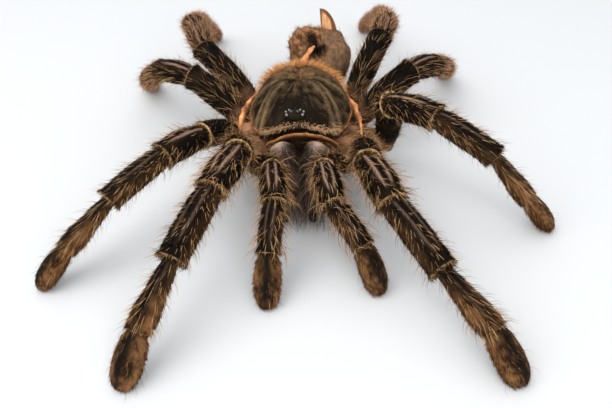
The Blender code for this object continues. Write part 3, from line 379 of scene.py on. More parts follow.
def world(points):
    """Places in the row frame, in metres."""
    return (np.asarray(points, float) + SHIFT) * MM


def unit(v):
    return v / np.maximum(np.linalg.norm(v, axis=-1, keepdims=True), 1e-9)


def smooth(t):
    """An even step from 0 to 1 while t goes from 0 to 1."""
    t = np.clip(t, 0.0, 1.0)
    return t * t * (3 - 2 * t)


def bell(distance, spread):
    """1 at a distance of 0, falling off to both sides."""
    return np.exp(-(distance / spread) ** 2)


def mix(a, b, share):
    """Blends two values or colours; share may be an array with one value for each point."""
    share = np.asarray(share, float)
    if share.ndim and np.shape(a)[-1:] == (3,):
        share = share[..., None]
    return a + (b - a) * share


def direction(heading, pitch):
    h, p = math.radians(heading), math.radians(pitch)
    return np.array([math.cos(h) * math.cos(p), math.sin(h) * math.cos(p), math.sin(p)])


def angle_from(ways, heading, pitch):
    """Degrees between each of some unit vectors and one direction."""
    return np.degrees(np.arccos(np.clip(ways @ direction(heading, pitch), -1, 1)))


def read_curve(points, at):
    """Values at places along (place, value) pairs, joined smoothly."""
    places, values = np.array(points).T
    k = np.clip(np.searchsorted(places, at) - 1, 0, len(places) - 2)
    part = smooth((at - places[k]) / (places[k + 1] - places[k]))
    return values[k] + (values[k + 1] - values[k]) * part


def bumps(points, scale, depth, offset=0.0):
    """Uneven relief: one small height for each point."""
    flat = np.asarray(points, float).reshape(-1, 3)
    heights = [noise.noise(Vector(p * scale + offset)) for p in flat]
    return depth * np.array(heights).reshape(np.shape(points)[:-1])


def circle(sides):
    """Angles evenly round a full turn."""
    return 2 * np.pi * np.arange(sides) / sides


def headings_round(count):
    """The same angles in degrees."""
    return 360.0 * np.arange(count) / count


def ring(centre, side, rise, width, height, turns):
    """Points round a centre, as far as width along side and as far as height along rise."""
    return centre + side * (width * np.cos(turns))[:, None] + rise * (height * np.sin(turns))[:, None]


def resample(points, count, even=False):
    """A number of places along a line of points, with its corners evened out if wanted, and their steps."""
    steps = np.linspace(0, len(points) - 1, count)
    line = np.stack([np.interp(steps, np.arange(len(points)), c) for c in np.array(points).T], axis=-1)
    if even:
        line[1:-1] = (line[:-2] + line[1:-1] * 2 + line[2:]) / 4
    return line, steps


def tube(points, radii, sides, heights=None, across=None):
    """Rings round a line of points, square to it, or as wide as across says and square to that."""
    heights = radii if heights is None else heights
    turns = circle(sides)
    rows = []
    for k, centre in enumerate(points):
        axis = unit(points[min(k + 1, len(points) - 1)] - points[max(k - 1, 0)])
        if across is None:
            side = unit(np.cross(axis, UP) if abs(axis[2]) < STEEP else np.cross(axis, BACKWARDS))
            rise = np.cross(side, axis)
        else:
            side, rise = across, unit(np.cross(across, axis))
        rows.append(ring(centre, side, rise, radii[k], heights[k], turns))
    return np.array(rows)


# Materials

class Paint:
    """A material in the making: its shader, and steps that put nodes before it."""

    def __init__(self, name, roughness, specular=0.5):
        self.made = bpy.data.materials.new(name)
        self.made.use_nodes = True
        self.nodes, self.links = self.made.node_tree.nodes, self.made.node_tree.links
        self.shader = self.nodes["Principled BSDF"]
        self.place = None
        self.shader.inputs["Roughness"].default_value = roughness
        self.shader.inputs["Specular IOR Level"].default_value = specular

    def new_noise(self, scale, detail):
        """A fine grain that stays with the piece."""
        self.place = self.place or self.nodes.new("ShaderNodeTexCoord")
        grain = self.nodes.new("ShaderNodeTexNoise")
        grain.inputs["Scale"].default_value = scale
        grain.inputs["Detail"].default_value = detail
        self.links.new(self.place.outputs["Object"], grain.inputs["Vector"])
        return grain

    def add_levels(self, source, low, high):
        """Spreads a value from 0 to 1 over a range of its own."""
        levels = self.nodes.new("ShaderNodeMapRange")
        levels.inputs["To Min"].default_value = low
        levels.inputs["To Max"].default_value = high
        self.links.new(source, levels.inputs["Value"])
        return levels.outputs["Result"]

    def add_ramp(self, source, first, second, end=1.0):
        """Takes the colour from a value, between two colours."""
        ramp = self.nodes.new("ShaderNodeValToRGB")
        ramp.color_ramp.elements[0].color = (*first, 1)
        ramp.color_ramp.elements[1].color = (*second, 1)
        ramp.color_ramp.elements[1].position = end
        self.links.new(source, ramp.inputs["Fac"])
        self.links.new(ramp.outputs["Color"], self.shader.inputs["Base Color"])

    def add_mottled_tint(self, scale, low, high):
        """Takes the colour from the points of skin or coat, varied a little with a fine noise."""
        tint = self.nodes.new("ShaderNodeVertexColor")
        tint.layer_name = "tint"
        grain = self.new_noise(scale, MOTTLE_DETAIL)
        scaled = self.nodes.new("ShaderNodeVectorMath")
        scaled.operation = "SCALE"
        self.links.new(tint.outputs["Color"], scaled.inputs[0])
        self.links.new(self.add_levels(grain.outputs["Fac"], low, high), scaled.inputs["Scale"])
        self.links.new(scaled.outputs["Vector"], self.shader.inputs["Base Color"])

    def add_bump(self, scale, depth, strength):
        """A fine relief; depth is in metres."""
        grain = self.new_noise(scale, BUMP_DETAIL)
        bump = self.nodes.new("ShaderNodeBump")
        bump.inputs["Distance"].default_value = depth
        bump.inputs["Strength"].default_value = strength
        self.links.new(grain.outputs["Fac"], bump.inputs["Height"])
        self.links.new(bump.outputs["Normal"], self.shader.inputs["Normal"])

    def add_gloss(self, dull, glossy):
        """Takes the roughness from the gloss of the points."""
        gloss = self.nodes.new("ShaderNodeAttribute")
        gloss.attribute_name = "gloss"
        roughness = self.add_levels(gloss.outputs["Fac"], dull, glossy)
        self.links.new(roughness, self.shader.inputs["Roughness"])


def skin_material():
    """Leathery skin: dull where hair grows, glossier where it is bald."""
    paint = Paint("spider_skin", roughness=0.62, specular=0.08)
    paint.add_mottled_tint(scale=900, low=0.7, high=1.3)
    paint.add_bump(scale=1600, depth=0.00012, strength=0.6)
    paint.add_gloss(dull=0.72, glossy=0.34)
    return paint.made


def jaw_material():
    """Bald, polished skin on the tops of the jaws, dull lower down."""
    paint = Paint("jaw_shell", roughness=0.5, specular=0.6)
    paint.add_mottled_tint(scale=900, low=0.75, high=1.25)
    paint.add_bump(scale=2200, depth=0.00006, strength=0.5)
    paint.add_gloss(dull=0.85, glossy=0.42)
    return paint.made


def shell_material():
    """The hard shield: dull under its down, glossy and black on the head."""
    paint = Paint("carapace_shell", roughness=0.5, specular=0.04)
    paint.add_mottled_tint(scale=700, low=0.65, high=1.3)
    paint.add_bump(scale=1300, depth=0.00010, strength=0.5)
    paint.add_gloss(dull=0.6, glossy=0.46)
    return paint.made


def sternum_material():
    """Dark, faintly mottled shell for the plate under the body."""
    paint = Paint("sternum_shell", roughness=0.6)
    paint.add_ramp(paint.new_noise(700, PLAIN_DETAIL).outputs["Fac"], VELVET * 0.8, VELVET_WARM * 1.4)
    paint.add_bump(scale=1400, depth=0.0001, strength=0.6)
    return paint.made


def eye_material(name, colour):
    """A wet dome, dark towards its outline."""
    paint = Paint(name, roughness=0.05)
    paint.shader.inputs["Coat Weight"].default_value = 1.0
    facing = paint.nodes.new("ShaderNodeLayerWeight")
    paint.add_ramp(facing.outputs["Facing"], colour, EYE_OUTLINE, end=0.6)
    return paint.made


def coat_material(name, roughness, specular):
    paint = Paint(name, roughness, specular)
    paint.add_mottled_tint(scale=2500, low=0.75, high=1.25)
    return paint.made


def floor_material():
    paint = Paint("floor_white", roughness=0.6, specular=0.2)
    paint.shader.inputs["Base Color"].default_value = FLOOR_COLOUR
    return paint.made


# Surfaces that skin is made from and hair grows on

class Surface:
    """A grid of points in rows, closed round each row, with named values at each point.

    cell is the square of the layout that its hairs take their places in, and away is a place inside it.
    """

    def __init__(self, grid, cell=None, away=None, **values):
        self.grid = np.asarray(grid, float)
        self.cell = cell
        shape = self.grid.shape[:2]
        self.values = {name: np.broadcast_to(v, shape).astype(float) for name, v in values.items()}
        along = np.gradient(self.grid, axis=0)
        across = np.roll(self.grid, -1, axis=1) - np.roll(self.grid, 1, axis=1)
        out = unit(np.cross(across, along))
        middle = self.grid.mean(axis=1, keepdims=True) if away is None else np.asarray(away, float)
        self.turned = np.sum(out * (self.grid - middle)) > 0
        self.out = out if self.turned else -out
        self.along = unit(along)

    def scatter(self, rng, density, weight):
        """Roots spread evenly over the surface where weight is 1, and thinner where it is less."""
        a, b, c, d = corners(self.grid)
        size = np.linalg.norm(np.cross(c - a, d - b), axis=-1) / 2
        chance = (size * np.clip(np.broadcast_to(weight, self.grid.shape[:2])[:-1], 0, 1)).ravel()
        count = int(chance.sum() * density)
        picks = rng.choice(len(chance), count, p=chance / chance.sum())
        rows, sides = np.divmod(picks, self.grid.shape[1])
        s, t = rng.random(count), rng.random(count)

        def sample(data):
            w, x, y, z = (corner[rows, sides] for corner in corners(data))
            s1, t1 = (s[:, None], t[:, None]) if data.ndim == 3 else (s, t)
            return (w * (1 - t1) + x * t1) * (1 - s1) + (z * (1 - t1) + y * t1) * s1

        roots = {name: sample(v) for name, v in self.values.items()}
        roots["at"] = sample(self.grid)
        roots["out"] = unit(sample(self.out))
        roots["along"] = unit(sample(self.along))
        spots = np.stack([(rows + s) / (self.grid.shape[0] - 1), (sides + t) / self.grid.shape[1]], axis=1)
        roots["uv"] = (np.array(self.cell) + CELL_MARGIN + (1 - 2 * CELL_MARGIN) * spots) / CELLS_ACROSS
        return roots


def corners(data):
    """The four corners of each face of a grid."""
    right = np.roll(data, -1, axis=1)
    return data[:-1], right[:-1], right[1:], data[1:]


def plain_surface(grid, colour, gloss, cell=None, away=None, uneven=0.25):
    """A surface of one colour, a little uneven."""
    surface = Surface(grid, cell, away, gloss=gloss)
    shade = 1 + bumps(surface.grid, 0.8, uneven * 2)
    surface.tint = np.asarray(colour) * shade[..., None]
    return surface


def tuft_pattern(sections):
    """Faces of a three-sided tuft with some cross-sections and a tip, and its corners on its patch."""
    faces = [(0, 2, 1)]
    for k in range(sections - 1):
        for i in range(3):
            a, b = 3 * k + i, 3 * k + (i + 1) % 3
            faces += [(a, b, b + 3), (a, b + 3, a + 3)]
    top, tip = 3 * sections - 3, 3 * sections
    faces += [(top + i, top + (i + 1) % 3, tip) for i in range(3)]
    patch = [(i - 1, 2 * k / sections - 1) for k in range(sections) for i in range(3)] + [(0, 1)]
    return np.array(faces), np.array(patch) * PATCH_HALF


class Coat:
    """Gathers tufts of one sort and makes them into mesh pieces."""

    def __init__(self, name, slot, material):
        self.name = name
        self.slot = slot
        self.material = material
        self.batches = []

    def grow(self, rng, roots, length, width, lift, colour, bend=0.0, sway=0.25, sections=1, lie=None,
             lie_share=0.95, tip_light_painted=1.25, curl=0.10, uneven=0.3):
        """One tuft at each root.

        length and width are in millimetres. lift, the angle to the skin, and bend, how far a tuft curves back
        down, are in degrees. sway and curl are how much tufts differ, and lie turns them towards a direction.
        """
        count = len(roots["at"])
        if not count:
            return
        out, along = roots["out"], roots["along"]
        if lie is not None:
            flat = lie - out * np.sum(lie * out, axis=1, keepdims=True)
            along = unit(unit(flat) * lie_share + along * (1 - lie_share))
        along = unit(along + np.cross(along, out) * rng.normal(0, sway, count)[:, None])
        side = unit(np.cross(along, out))
        step = (np.broadcast_to(length, count) * rng.uniform(*LENGTH_SPREAD, count))[:, None] / sections
        half = np.broadcast_to(width, count)[:, None] / 2
        tilt = np.radians(np.broadcast_to(lift, count) + rng.normal(0, LIFT_SPREAD, count))[:, None]
        turn = np.radians(np.broadcast_to(bend, count))[:, None] / max(1, sections - 1)
        wave = side * rng.normal(0, curl, count)[:, None]
        at = roots["at"] - out * ROOT_DEPTH
        points = []
        for k in range(sections):
            way = unit(along * np.cos(tilt - k * turn) + out * np.sin(tilt - k * turn) + wave * k)
            rise = np.cross(side, way)
            thin = half * (1 - TAPER * k / sections)
            for i in range(3):
                a = 2 * math.pi * i / 3
                points.append(at + side * (math.cos(a) * thin) + rise * (math.sin(a) * thin))
            at = at + way * step
        points.append(at)
        points = np.stack(points, axis=1)
        shade = np.broadcast_to(colour, (count, 3)) * rng.uniform(1 - uneven, 1 + uneven, count)[:, None]
        # Painted shade darkens each tuft at its root, and painted light brightens it towards its tip.
        levels = np.linspace(ROOT_SHADE_PAINTED, tip_light_painted, sections + 1)
        light = np.concatenate([np.repeat(levels[:-1], 3), levels[-1:]])
        tint = shade[:, None, :] * light[None, :, None]
        faces, patch = tuft_pattern(sections)
        kept = points[:, :3, 2].min(axis=1) > FLOOR_CLEARANCE * 2
        points[..., 2] = np.maximum(points[..., 2], FLOOR_CLEARANCE)
        self.batches.append((points[kept], faces, tint[kept], (roots["uv"][:, None] + patch)[kept]))

    def split(self):
        """The gathered tufts in as few lots as the size of a piece allows."""
        lots, current, size = [], [], 0
        for points, faces, tint, uv in self.batches:
            start = 0
            while start < len(points):
                room = max(1, (MOST_TRIANGLES - size) // len(faces))
                stop = min(len(points), start + room)
                current.append((points[start:stop], faces, tint[start:stop], uv[start:stop]))
                size += (stop - start) * len(faces)
                start = stop
                if size > MOST_TRIANGLES - 2 * len(faces):
                    lots.append(current)
                    current, size = [], 0
        return lots + [current] if current else lots

    def build(self):
        lots = self.split()
        for number, batches in enumerate(lots, start=1):
            name = self.name if len(lots) == 1 else f"{self.name}_{number}"
            tuft_object(name, batches, self.material)


def triangle_mesh(name, points, faces, tint):
    """A mesh of triangles from arrays of points, corner numbers and colours."""
    mesh = bpy.data.meshes.new(name)
    mesh.vertices.add(len(points))
    mesh.vertices.foreach_set("co", world(points).astype(np.float32).ravel())
    mesh.loops.add(faces.size)
    mesh.loops.foreach_set("vertex_index", faces.ravel().astype(np.int32))
    mesh.polygons.add(len(faces))
    mesh.polygons.foreach_set("loop_start", np.arange(0, faces.size, faces.shape[1], dtype=np.int32))
    mesh.update(calc_edges=True)
    mesh.shade_smooth()
    colours = np.ones((len(points), 4), np.float32)
    colours[:, :3] = np.clip(tint, 0, 1)
    layer = mesh.color_attributes.new("tint", "FLOAT_COLOR", "POINT")
    layer.data.foreach_set("color", colours.ravel())
    return mesh


def place_piece(name, mesh, material):
    mesh.materials.append(material)
    made = bpy.data.objects.new(name, mesh)
    bpy.context.scene.collection.objects.link(made)
    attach(made, "root")
    return made


def tuft_object(name, batches, material):
    """One mesh from batches of tufts."""
    points, faces, tints, uvs, base = [], [], [], [], 0
    for batch_points, pattern, tint, uv in batches:
        count, per = batch_points.shape[:2]
        points.append(batch_points.reshape(-1, 3))
        tints.append(tint.reshape(-1, 3))
        uvs.append(uv.reshape(-1, 2))
        faces.append((pattern[None] + base + np.arange(count)[:, None, None] * per).reshape(-1, 3))
        base += count * per
    faces = np.concatenate(faces)
    mesh = triangle_mesh(name, np.concatenate(points), faces, np.concatenate(tints))
    layer = mesh.uv_layers.new(name="OFBake")
    layer.data.foreach_set("uv", np.concatenate(uvs)[faces.ravel()].astype(np.float32).ravel())
    return place_piece(name, mesh, material)


def grid_faces(surface):
    """Triangles between the rows of a surface, and a fan over each of its two ends."""
    rows, sides = surface.grid.shape[:2]
    grid = np.arange(rows * sides).reshape(rows, sides)
    right = np.roll(grid, -1, axis=1)
    first, last = np.full(sides, rows * sides), np.full(sides, rows * sides + 1)
    parts = [(grid[:-1], right[:-1], right[1:]), (grid[:-1], right[1:], grid[1:]),
             (right[0], grid[0], first), (grid[-1], right[-1], last)]
    faces = np.concatenate([np.stack(part, axis=-1).reshape(-1, 3) for part in parts])
    return faces if surface.turned else faces[:, ::-1]


def skin_object(name, surfaces, material, replaced=()):
    """One mesh from the grids of several surfaces, their ends closed."""
    points, faces, tints, gloss, base = [], [], [], [], 0
    for surface in surfaces:
        hubs = np.stack([surface.grid[0].mean(axis=0), surface.grid[-1].mean(axis=0)])
        points += [surface.grid.reshape(-1, 3), hubs]
        tint = surface.tint.reshape(-1, 3)
        tints += [tint, tint[[0, -1]]]
        shine = surface.values["gloss"].ravel()
        gloss += [shine, shine[[0, -1]]]
        faces.append(grid_faces(surface) + base)
        base += len(tint) + 2
    mesh = triangle_mesh(name, np.concatenate(points), np.concatenate(faces), np.concatenate(tints))
    layer = mesh.attributes.new("gloss", "FLOAT", "POINT")
    layer.data.foreach_set("value", np.concatenate(gloss).astype(np.float32))
    made = place_piece(name, mesh, material)
    if replaced:
        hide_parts(*replaced)
    return made


# Limbs

def core_facet(heading):
    """Middle and outward normal of the core's flat side that faces a heading, on its left-hand side."""
    normal = direction(heading, 0)
    reach = math.hypot(CORE_HALF_WIDTH * normal[0], CORE_HALF_LENGTH * normal[1])
    return np.array([CORE_HALF_WIDTH ** 2 * normal[0], CORE_HALF_LENGTH ** 2 * normal[1], 0]) / reach, normal


def limb_turns():
    """Angles round a limb, closer together over its top and underside."""
    even = 2 * np.pi * np.arange(LIMB_SIDES) / LIMB_SIDES
    return even - TOP_CROWDING * np.sin(2 * (even - np.pi / 2))


class Limb:
    """One palp or leg: its joints, and its skin as one surface from the body to the tip of its foot."""

    def __init__(self, name, cell):
        self.kind, _, side = name.rpartition("_")
        self.sizes = LIMBS[self.kind]
        self.segments = PALP_SEGMENTS if self.kind == "palp" else LEG_SEGMENTS
        mirror = np.array([1 if side == "left" else -1, 1, 1])
        place, facing = core_facet(self.sizes["facet"])
        inner = place * mirror - facing * mirror * COXA_SUNK + UP * self.sizes["coxa_z"]
        root = STRETCHED_ROOTS.get(name, np.array(self.sizes["root"]) * mirror)
        self.joints = self.find_joints([inner, np.array(root)], POSES[name])
        self.axes = [unit(b - a) for a, b in zip(self.joints, self.joints[1:])]
        self.normals = [facing * mirror]
        self.normals += [unit(a + b) for a, b in zip(self.axes, self.axes[1:])]
        self.normals.append(self.axes[-1])
        grid, places = self.make_rings()
        self.surface = Surface(grid, cell, **self.make_marks(grid, *places))
        self.surface.tint = limb_colour(self.surface.values, grid)

    def find_joints(self, joints, pose):
        """Adds the joints of a pose to those of the hip. The foot comes down to the floor."""
        *bends, tarsus_heading = pose
        lengths = self.sizes["lengths"]
        for (heading, pitch), length in zip(bends, lengths):
            joints.append(joints[-1] + direction(heading, pitch) * length)
        drop = math.degrees(math.asin((joints[-1][2] - TARSUS_TIP_Z) / lengths[-1]))
        return joints + [joints[-1] + direction(tarsus_heading, -drop) * lengths[-1]]

    def radius(self, span, share):
        profile = read_curve(PROFILES[self.segments[span]], share)
        if span > 0:
            return self.sizes["radii"][span - 1] * profile
        inner = self.sizes["inner"]
        return inner + (self.sizes["radii"][0] * COXA_OUTER_SHARE - inner) * profile

    def row(self, span, share, pinch=1.0):
        """One ring of the skin, turned into the bends near the ends of a segment."""
        segment, axis = self.segments[span], self.axes[span]
        if share < 0.5:
            normal = mix(self.normals[span], axis, smooth(share / BEND_SHARE))
        else:
            normal = mix(self.normals[span + 1], axis, smooth((1 - share) / BEND_SHARE))
        normal = unit(normal)
        rise = np.cross(unit(np.cross(axis, UP)), axis)
        centre = mix(self.joints[span], self.joints[span + 1], share)
        centre = centre + rise * SEGMENT_BOW[segment] * 4 * share * (1 - share)
        width = self.radius(span, share) * SKIN_INSET * pinch
        side = unit(np.cross(normal, UP))
        height = width * SEGMENT_HEIGHT[segment]
        return ring(centre, side, np.cross(side, normal), width, height, limb_turns())

    def make_rings(self):
        """All rings, and as columns their segment's number, their share of it and how near its end is."""
        rings, notes = [], []
        lengths = [np.linalg.norm(b - a) for a, b in zip(self.joints, self.joints[1:])]
        for span, segment in enumerate(self.segments):
            last = span == len(self.segments) - 1
            shares = np.linspace(0, 1, SEGMENT_ROWS[segment])
            ends = [] if last else [1 - d / lengths[span] for d in RIM_ROWS]
            for share in np.unique(np.concatenate([shares, [FIRST_ROW], ends])):
                to_end = (1 - share) * lengths[span]
                flare = 1 if last or segment == "coxa" else 1 + RIM_FLARE * bell(to_end - 0.25, 0.3)
                rings.append(self.row(span, share, END_PINCH if share == 1 and not last else flare))
                notes.append((span, share, to_end))
            if not last:
                rings += [self.row(span, 1.0, RIM_INSIDE), self.row(span + 1, 0.0, JOINT_PINCH)]
                notes += [(span + 1, IN_JOINT, FAR_AWAY)] * 2
        grid = np.array(rings)
        grid[..., 2] = np.maximum(grid[..., 2], SKIN_CLEARANCE)
        return grid, np.array(notes).T[..., None]

    def make_marks(self, grid, span, share, to_end):
        """Where the limb is bald, rimmed, brown, fleshy or fluffy, mostly as values from 0 to 1."""
        turn = np.degrees(limb_turns())[None, :]
        top, across = np.sin(np.radians(turn)), np.abs(np.cos(np.radians(turn)))
        names = np.array([self.segments[int(k)] for k in span[:, 0]])
        here = {segment: (names == segment)[:, None].astype(float) for segment in LEG_SEGMENTS}
        joint = np.where(share < 0, 1.0, 0.0) + np.where((share <= FIRST_ROW) & (share >= 0), 0.6, 0.0)
        rim = sum(here[n] * plain * smooth(1.15 - to_end / depth) for n, (depth, plain) in RIMS.items())
        rim = rim * np.clip(0.75 + bumps(grid, 2.0, 1.3, 4.0), 0, 1)
        fluff = sum(here[n] * part for n, part in FLUFF.get(self.kind, {"coxa": 0.0}).items())

        # The two bald stripes waver, draw together and fade towards both ends of a segment.
        strength = np.array([STRIPE_STRENGTH[n] for n in names])[:, None]
        fade = smooth((share - 0.04) / 0.06) * smooth((0.86 - share) / 0.2)
        waver = STRIPE_ANGLE * (1 - 0.35 * smooth((share - 0.5) / 0.4)) + bumps(grid, 0.5, 4.0, 9.0)
        bald = bell(np.abs(turn - 90) - waver, STRIPE_SPREAD) * strength * fade * (1 - 0.4 * fluff)

        # Brown are the feet beside a dark line along their tops, the sides of tibia and metatarsus, and the
        # fluff. On the sides the brown is partly the legs' own, partly painted rim light along their
        # outlines.
        # Fleshy are the hips and the start of the femur.
        edge = smooth((across - 0.55) / 0.4)
        foot = here["tarsus"] + here["metatarsus"] * smooth((share - 0.2) / 0.35)
        dark_line = bell(turn - 90, DARK_STRIPE_SPREAD) * (1 - 0.5 * smooth((share - 0.75) / 0.2))
        brown = np.maximum(foot * (1 - dark_line), 0.25 * edge * (here["tibia"] + here["metatarsus"]))
        brown = np.maximum(brown, fluff * np.clip(0.6 + bumps(grid, 0.6, 1.5, 17.0), 0.1, 1))
        coxa = here["coxa"] + here["femur"] * smooth((0.2 - share) / 0.12)
        coxa = coxa * (REAR_COXA_FLESH if self.kind in FLUFF else 1.0)
        return dict(joint=joint, rim=rim, bald=bald, coxa=coxa, foot=foot * smooth((0.25 - top) / 0.5),
                    brown=brown, top=top, gloss=np.clip(bald * 1.2 + 0.2 * joint, 0, 1), fluff=fluff,
                    tarsus=here["tarsus"], tibia=here["tibia"], femur=here["femur"], patella=here["patella"],
                    turn=turn, share=share)


def limb_colour(values, at):
    """Colour of a limb's skin or short coat from the marks on it, with some painted light and shade."""
    uneven = bumps(at, 0.45, 1.0, 3.0)
    # The sides are browner: partly the legs' own brown, partly painted rim light along their outlines.
    edge = np.abs(np.cos(np.radians(values["turn"]))) ** 3
    colour = mix(VELVET, VELVET_WARM, np.clip(uneven, 0, 1))
    streaks = bumps(at, 1.7, 0.8, 13.0)
    tawny = mix(BROWN * 0.3, TAWNY, np.clip(0.1 + 0.5 * edge + 0.5 * uneven + streaks, 0, 1))
    colour = mix(colour, tawny, np.clip(values["brown"], 0, 1) * 0.85)
    colour = mix(colour, RUST_AND_SHADOW, np.clip(values["foot"], 0, 1) * 0.7)
    # Painted light: the fleshy hips are lighter on top and darker underneath, besides their mottling.
    light = np.clip(0.5 + 1.6 * uneven, 0, 1) * smooth((values["top"] + 0.5) / 0.7)
    colour = mix(colour, mix(FLESH * 0.3, FLESH, light), np.clip(values["coxa"] * 0.75, 0, 1))
    # Painted shade darkens the rings that fold into each joint; the salmon membrane shows only on the tops of
    # the hips, where painted light falls.
    light = np.clip(values["coxa"], 0, 1) * smooth((values["top"] + 0.3) / 0.7)
    colour = mix(colour, mix(VELVET_WARM, MEMBRANE, light), np.clip(values["joint"], 0, 1))
    colour = mix(colour, RIM * 0.7, np.clip(values["rim"], 0, 1) * 0.9)
    return mix(colour, BALD, np.clip(values["bald"] * 1.1, 0, 1))


def claw_surface(limb, sign):
    """A small dark claw under the tip of a foot."""
    axis, tip = limb.axes[-1], limb.joints[-1]
    side = unit(np.cross(axis, UP))
    root = tip - axis * CLAW_BACK + UP * CLAW_LIFT + side * sign * CLAW_BACK
    rows = []
    for share in np.arange(6) / 5:
        bend = unit(mix(axis, -UP, share * CLAW_BEND))
        centre = root + bend * CLAW_LENGTH * share
        centre[2] = max(centre[2], CLAW_CLEARANCE)
        radius = CLAW_RADIUS * (1 - share) + CLAW_POINT
        rows.append(ring(centre, side, unit(np.cross(side, bend)), radius, radius, circle(8)))
    surface = Surface(rows, gloss=1.0)
    surface.tint = np.broadcast_to(BLACK, surface.grid.shape)
    return surface


# The prosoma

def turn_from_front(angle):
    """Degrees away from straight ahead, to either side."""
    return np.abs((angle + 180) % 360 - 180)


def carapace_edge(angle):
    """How far out the carapace's edge is, and its height, in a direction from its middle."""
    turn = turn_from_front(angle)
    rise = REAR_RISE * smooth((turn - 95) / 85)
    height = CARAPACE_RIM_Z + CLYPEUS_ARCH * bell(turn, CLYPEUS_ARCH_SPREAD) + rise
    return read_curve(CARAPACE_EDGE, turn), height


def groove_at(x, y):
    """How deep the radial grooves are at a place, from 0 to 1."""
    away_x, away_y = np.abs(x), y - FOVEA_Y
    far = np.hypot(away_x, away_y)
    heading = np.degrees(np.arctan2(away_y, away_x))
    depth = np.zeros(np.shape(x))
    for groove in GROOVE_HEADINGS:
        depth = np.maximum(depth, bell((heading - groove) * far / DEGREES_IN_RADIAN, GROOVE_SPREAD))
    return depth * smooth(far / 2.5)


def caput_offset(x, y):
    """How far a place is outside the edge of the raised head region."""
    places, half_widths = np.array(CAPUT_HALF_WIDTHS).T
    return np.abs(x - CAPUT_X) - np.interp(y, places, half_widths)


def ridges_at(x, y):
    """Pale ridges beside the head region and rays behind them, from 0 to 1."""
    off = caput_offset(x, y)
    beside = bell(off - 1.0, 0.33) + 0.8 * bell(off - 2.6, 0.36)
    beside = beside * smooth((3.5 - y) / 3) * smooth((y + 10.5) / 3)
    heading = np.degrees(np.arctan2(y - FOVEA_Y, np.abs(x)))
    rays = sum(bell(heading - ray, 6.0) for ray in RAY_HEADINGS) * smooth((y - 0.5) / 2.0)
    return np.clip(beside + 0.7 * rays, 0, 1) * smooth((np.hypot(x, y - FOVEA_Y) - 1.2) / 2.5)


def carapace_point(angle, share):
    """Places on the carapace's top, from its middle (share 0) to its edge (share 1)."""
    reach, rim_z = carapace_edge(angle)
    a = np.radians(angle)
    x, y = reach * share * np.sin(a), -reach * share * np.cos(a)
    base = CARAPACE_RIM_Z + (rim_z - CARAPACE_RIM_Z) * np.where(y < 0, share ** 4, share ** 2.2)
    dome = THORAX_HEIGHT * (1 - share ** THORAX_POWER)
    caput = np.hypot((x - TUBERCLE_X) / CAPUT_HALF_WIDTH, (y - CAPUT_CENTRE_Y) / CAPUT_HALF_LENGTH)
    height = dome + CAPUT_HEIGHT * np.exp(-caput ** 4) * (1 - share ** CAPUT_POWER)
    height = height - FOVEA_DEPTH * bell(x, FOVEA_HALF_WIDTH) * bell(y - FOVEA_Y, FOVEA_HALF_LENGTH)
    inside = (1 - share ** 6)
    height = height - GROOVE_DEPTH * (bell(caput_offset(x, y), 0.5) + 0.5 * groove_at(x, y)) * inside
    height = height + RIDGE_HEIGHT * ridges_at(x, y) * inside
    return np.stack([x, y, base + height], axis=-1)


def carapace_rings():
    """The carapace's rings from its middle to its edge and under it, and how far out each of them is."""
    angles = headings_round(CARAPACE_COLUMNS)
    shares = np.concatenate([np.linspace(0.015, 0.9, 40), [0.93, 0.955, 0.975, 0.99, 1.0]])
    angle, share = np.meshgrid(angles, shares)
    grid = carapace_point(angle, share)
    lip = smooth((share - 0.9) / 0.1)
    grid[..., 2] += CARAPACE_LIP * lip * (1 - lip)
    under = []
    for k, inset in enumerate(UNDER_SHARES):
        row = carapace_point(angles, np.full(len(angles), inset))
        row[:, 2] = carapace_edge(angles)[1] + 0.05 - 0.1 * k
        under.append(row)
    share = np.concatenate([share, np.ones((len(under), len(angles)))])
    return angles, share, np.concatenate([grid, under])


def carapace_surface():
    """The shield, with a black head region, a salmon margin and a seat for the mound of the eyes."""
    angles, share, grid = carapace_rings()
    x, y = grid[..., 0], grid[..., 1]
    bound = CAPUT_DARK_FROM - CAPUT_DARK_ARCH * (x - CAPUT_X) ** 2
    black = smooth(0.45 - caput_offset(x, y) / 1.5) * smooth((bound - y) / 3.0)
    top = slice(0, -len(UNDER_SHARES))
    grid[top, :, 2] += bumps(grid[top], 0.9, 0.10)
    seat = bell(x - TUBERCLE_X, 2.0) * bell(y - TUBERCLE_Y, 1.5)
    grid[..., 2] = mix(grid[..., 2], np.minimum(grid[..., 2], tubercle_foot_z()), seat)
    ahead = turn_from_front(np.broadcast_to(angles, x.shape))
    margin = smooth((share - 0.97) / 0.025) * smooth((ahead - 38) / 12) * (0.65 + bumps(grid, 1.2, 0.7))
    surface = Surface(grid, CARAPACE_CELL, away=(0, 0, 8), share=share, black=black, margin=margin,
                      ridge=ridges_at(x, y), ahead=ahead, gloss=black)
    surface.tint = carapace_colour(surface.values, grid)
    return surface


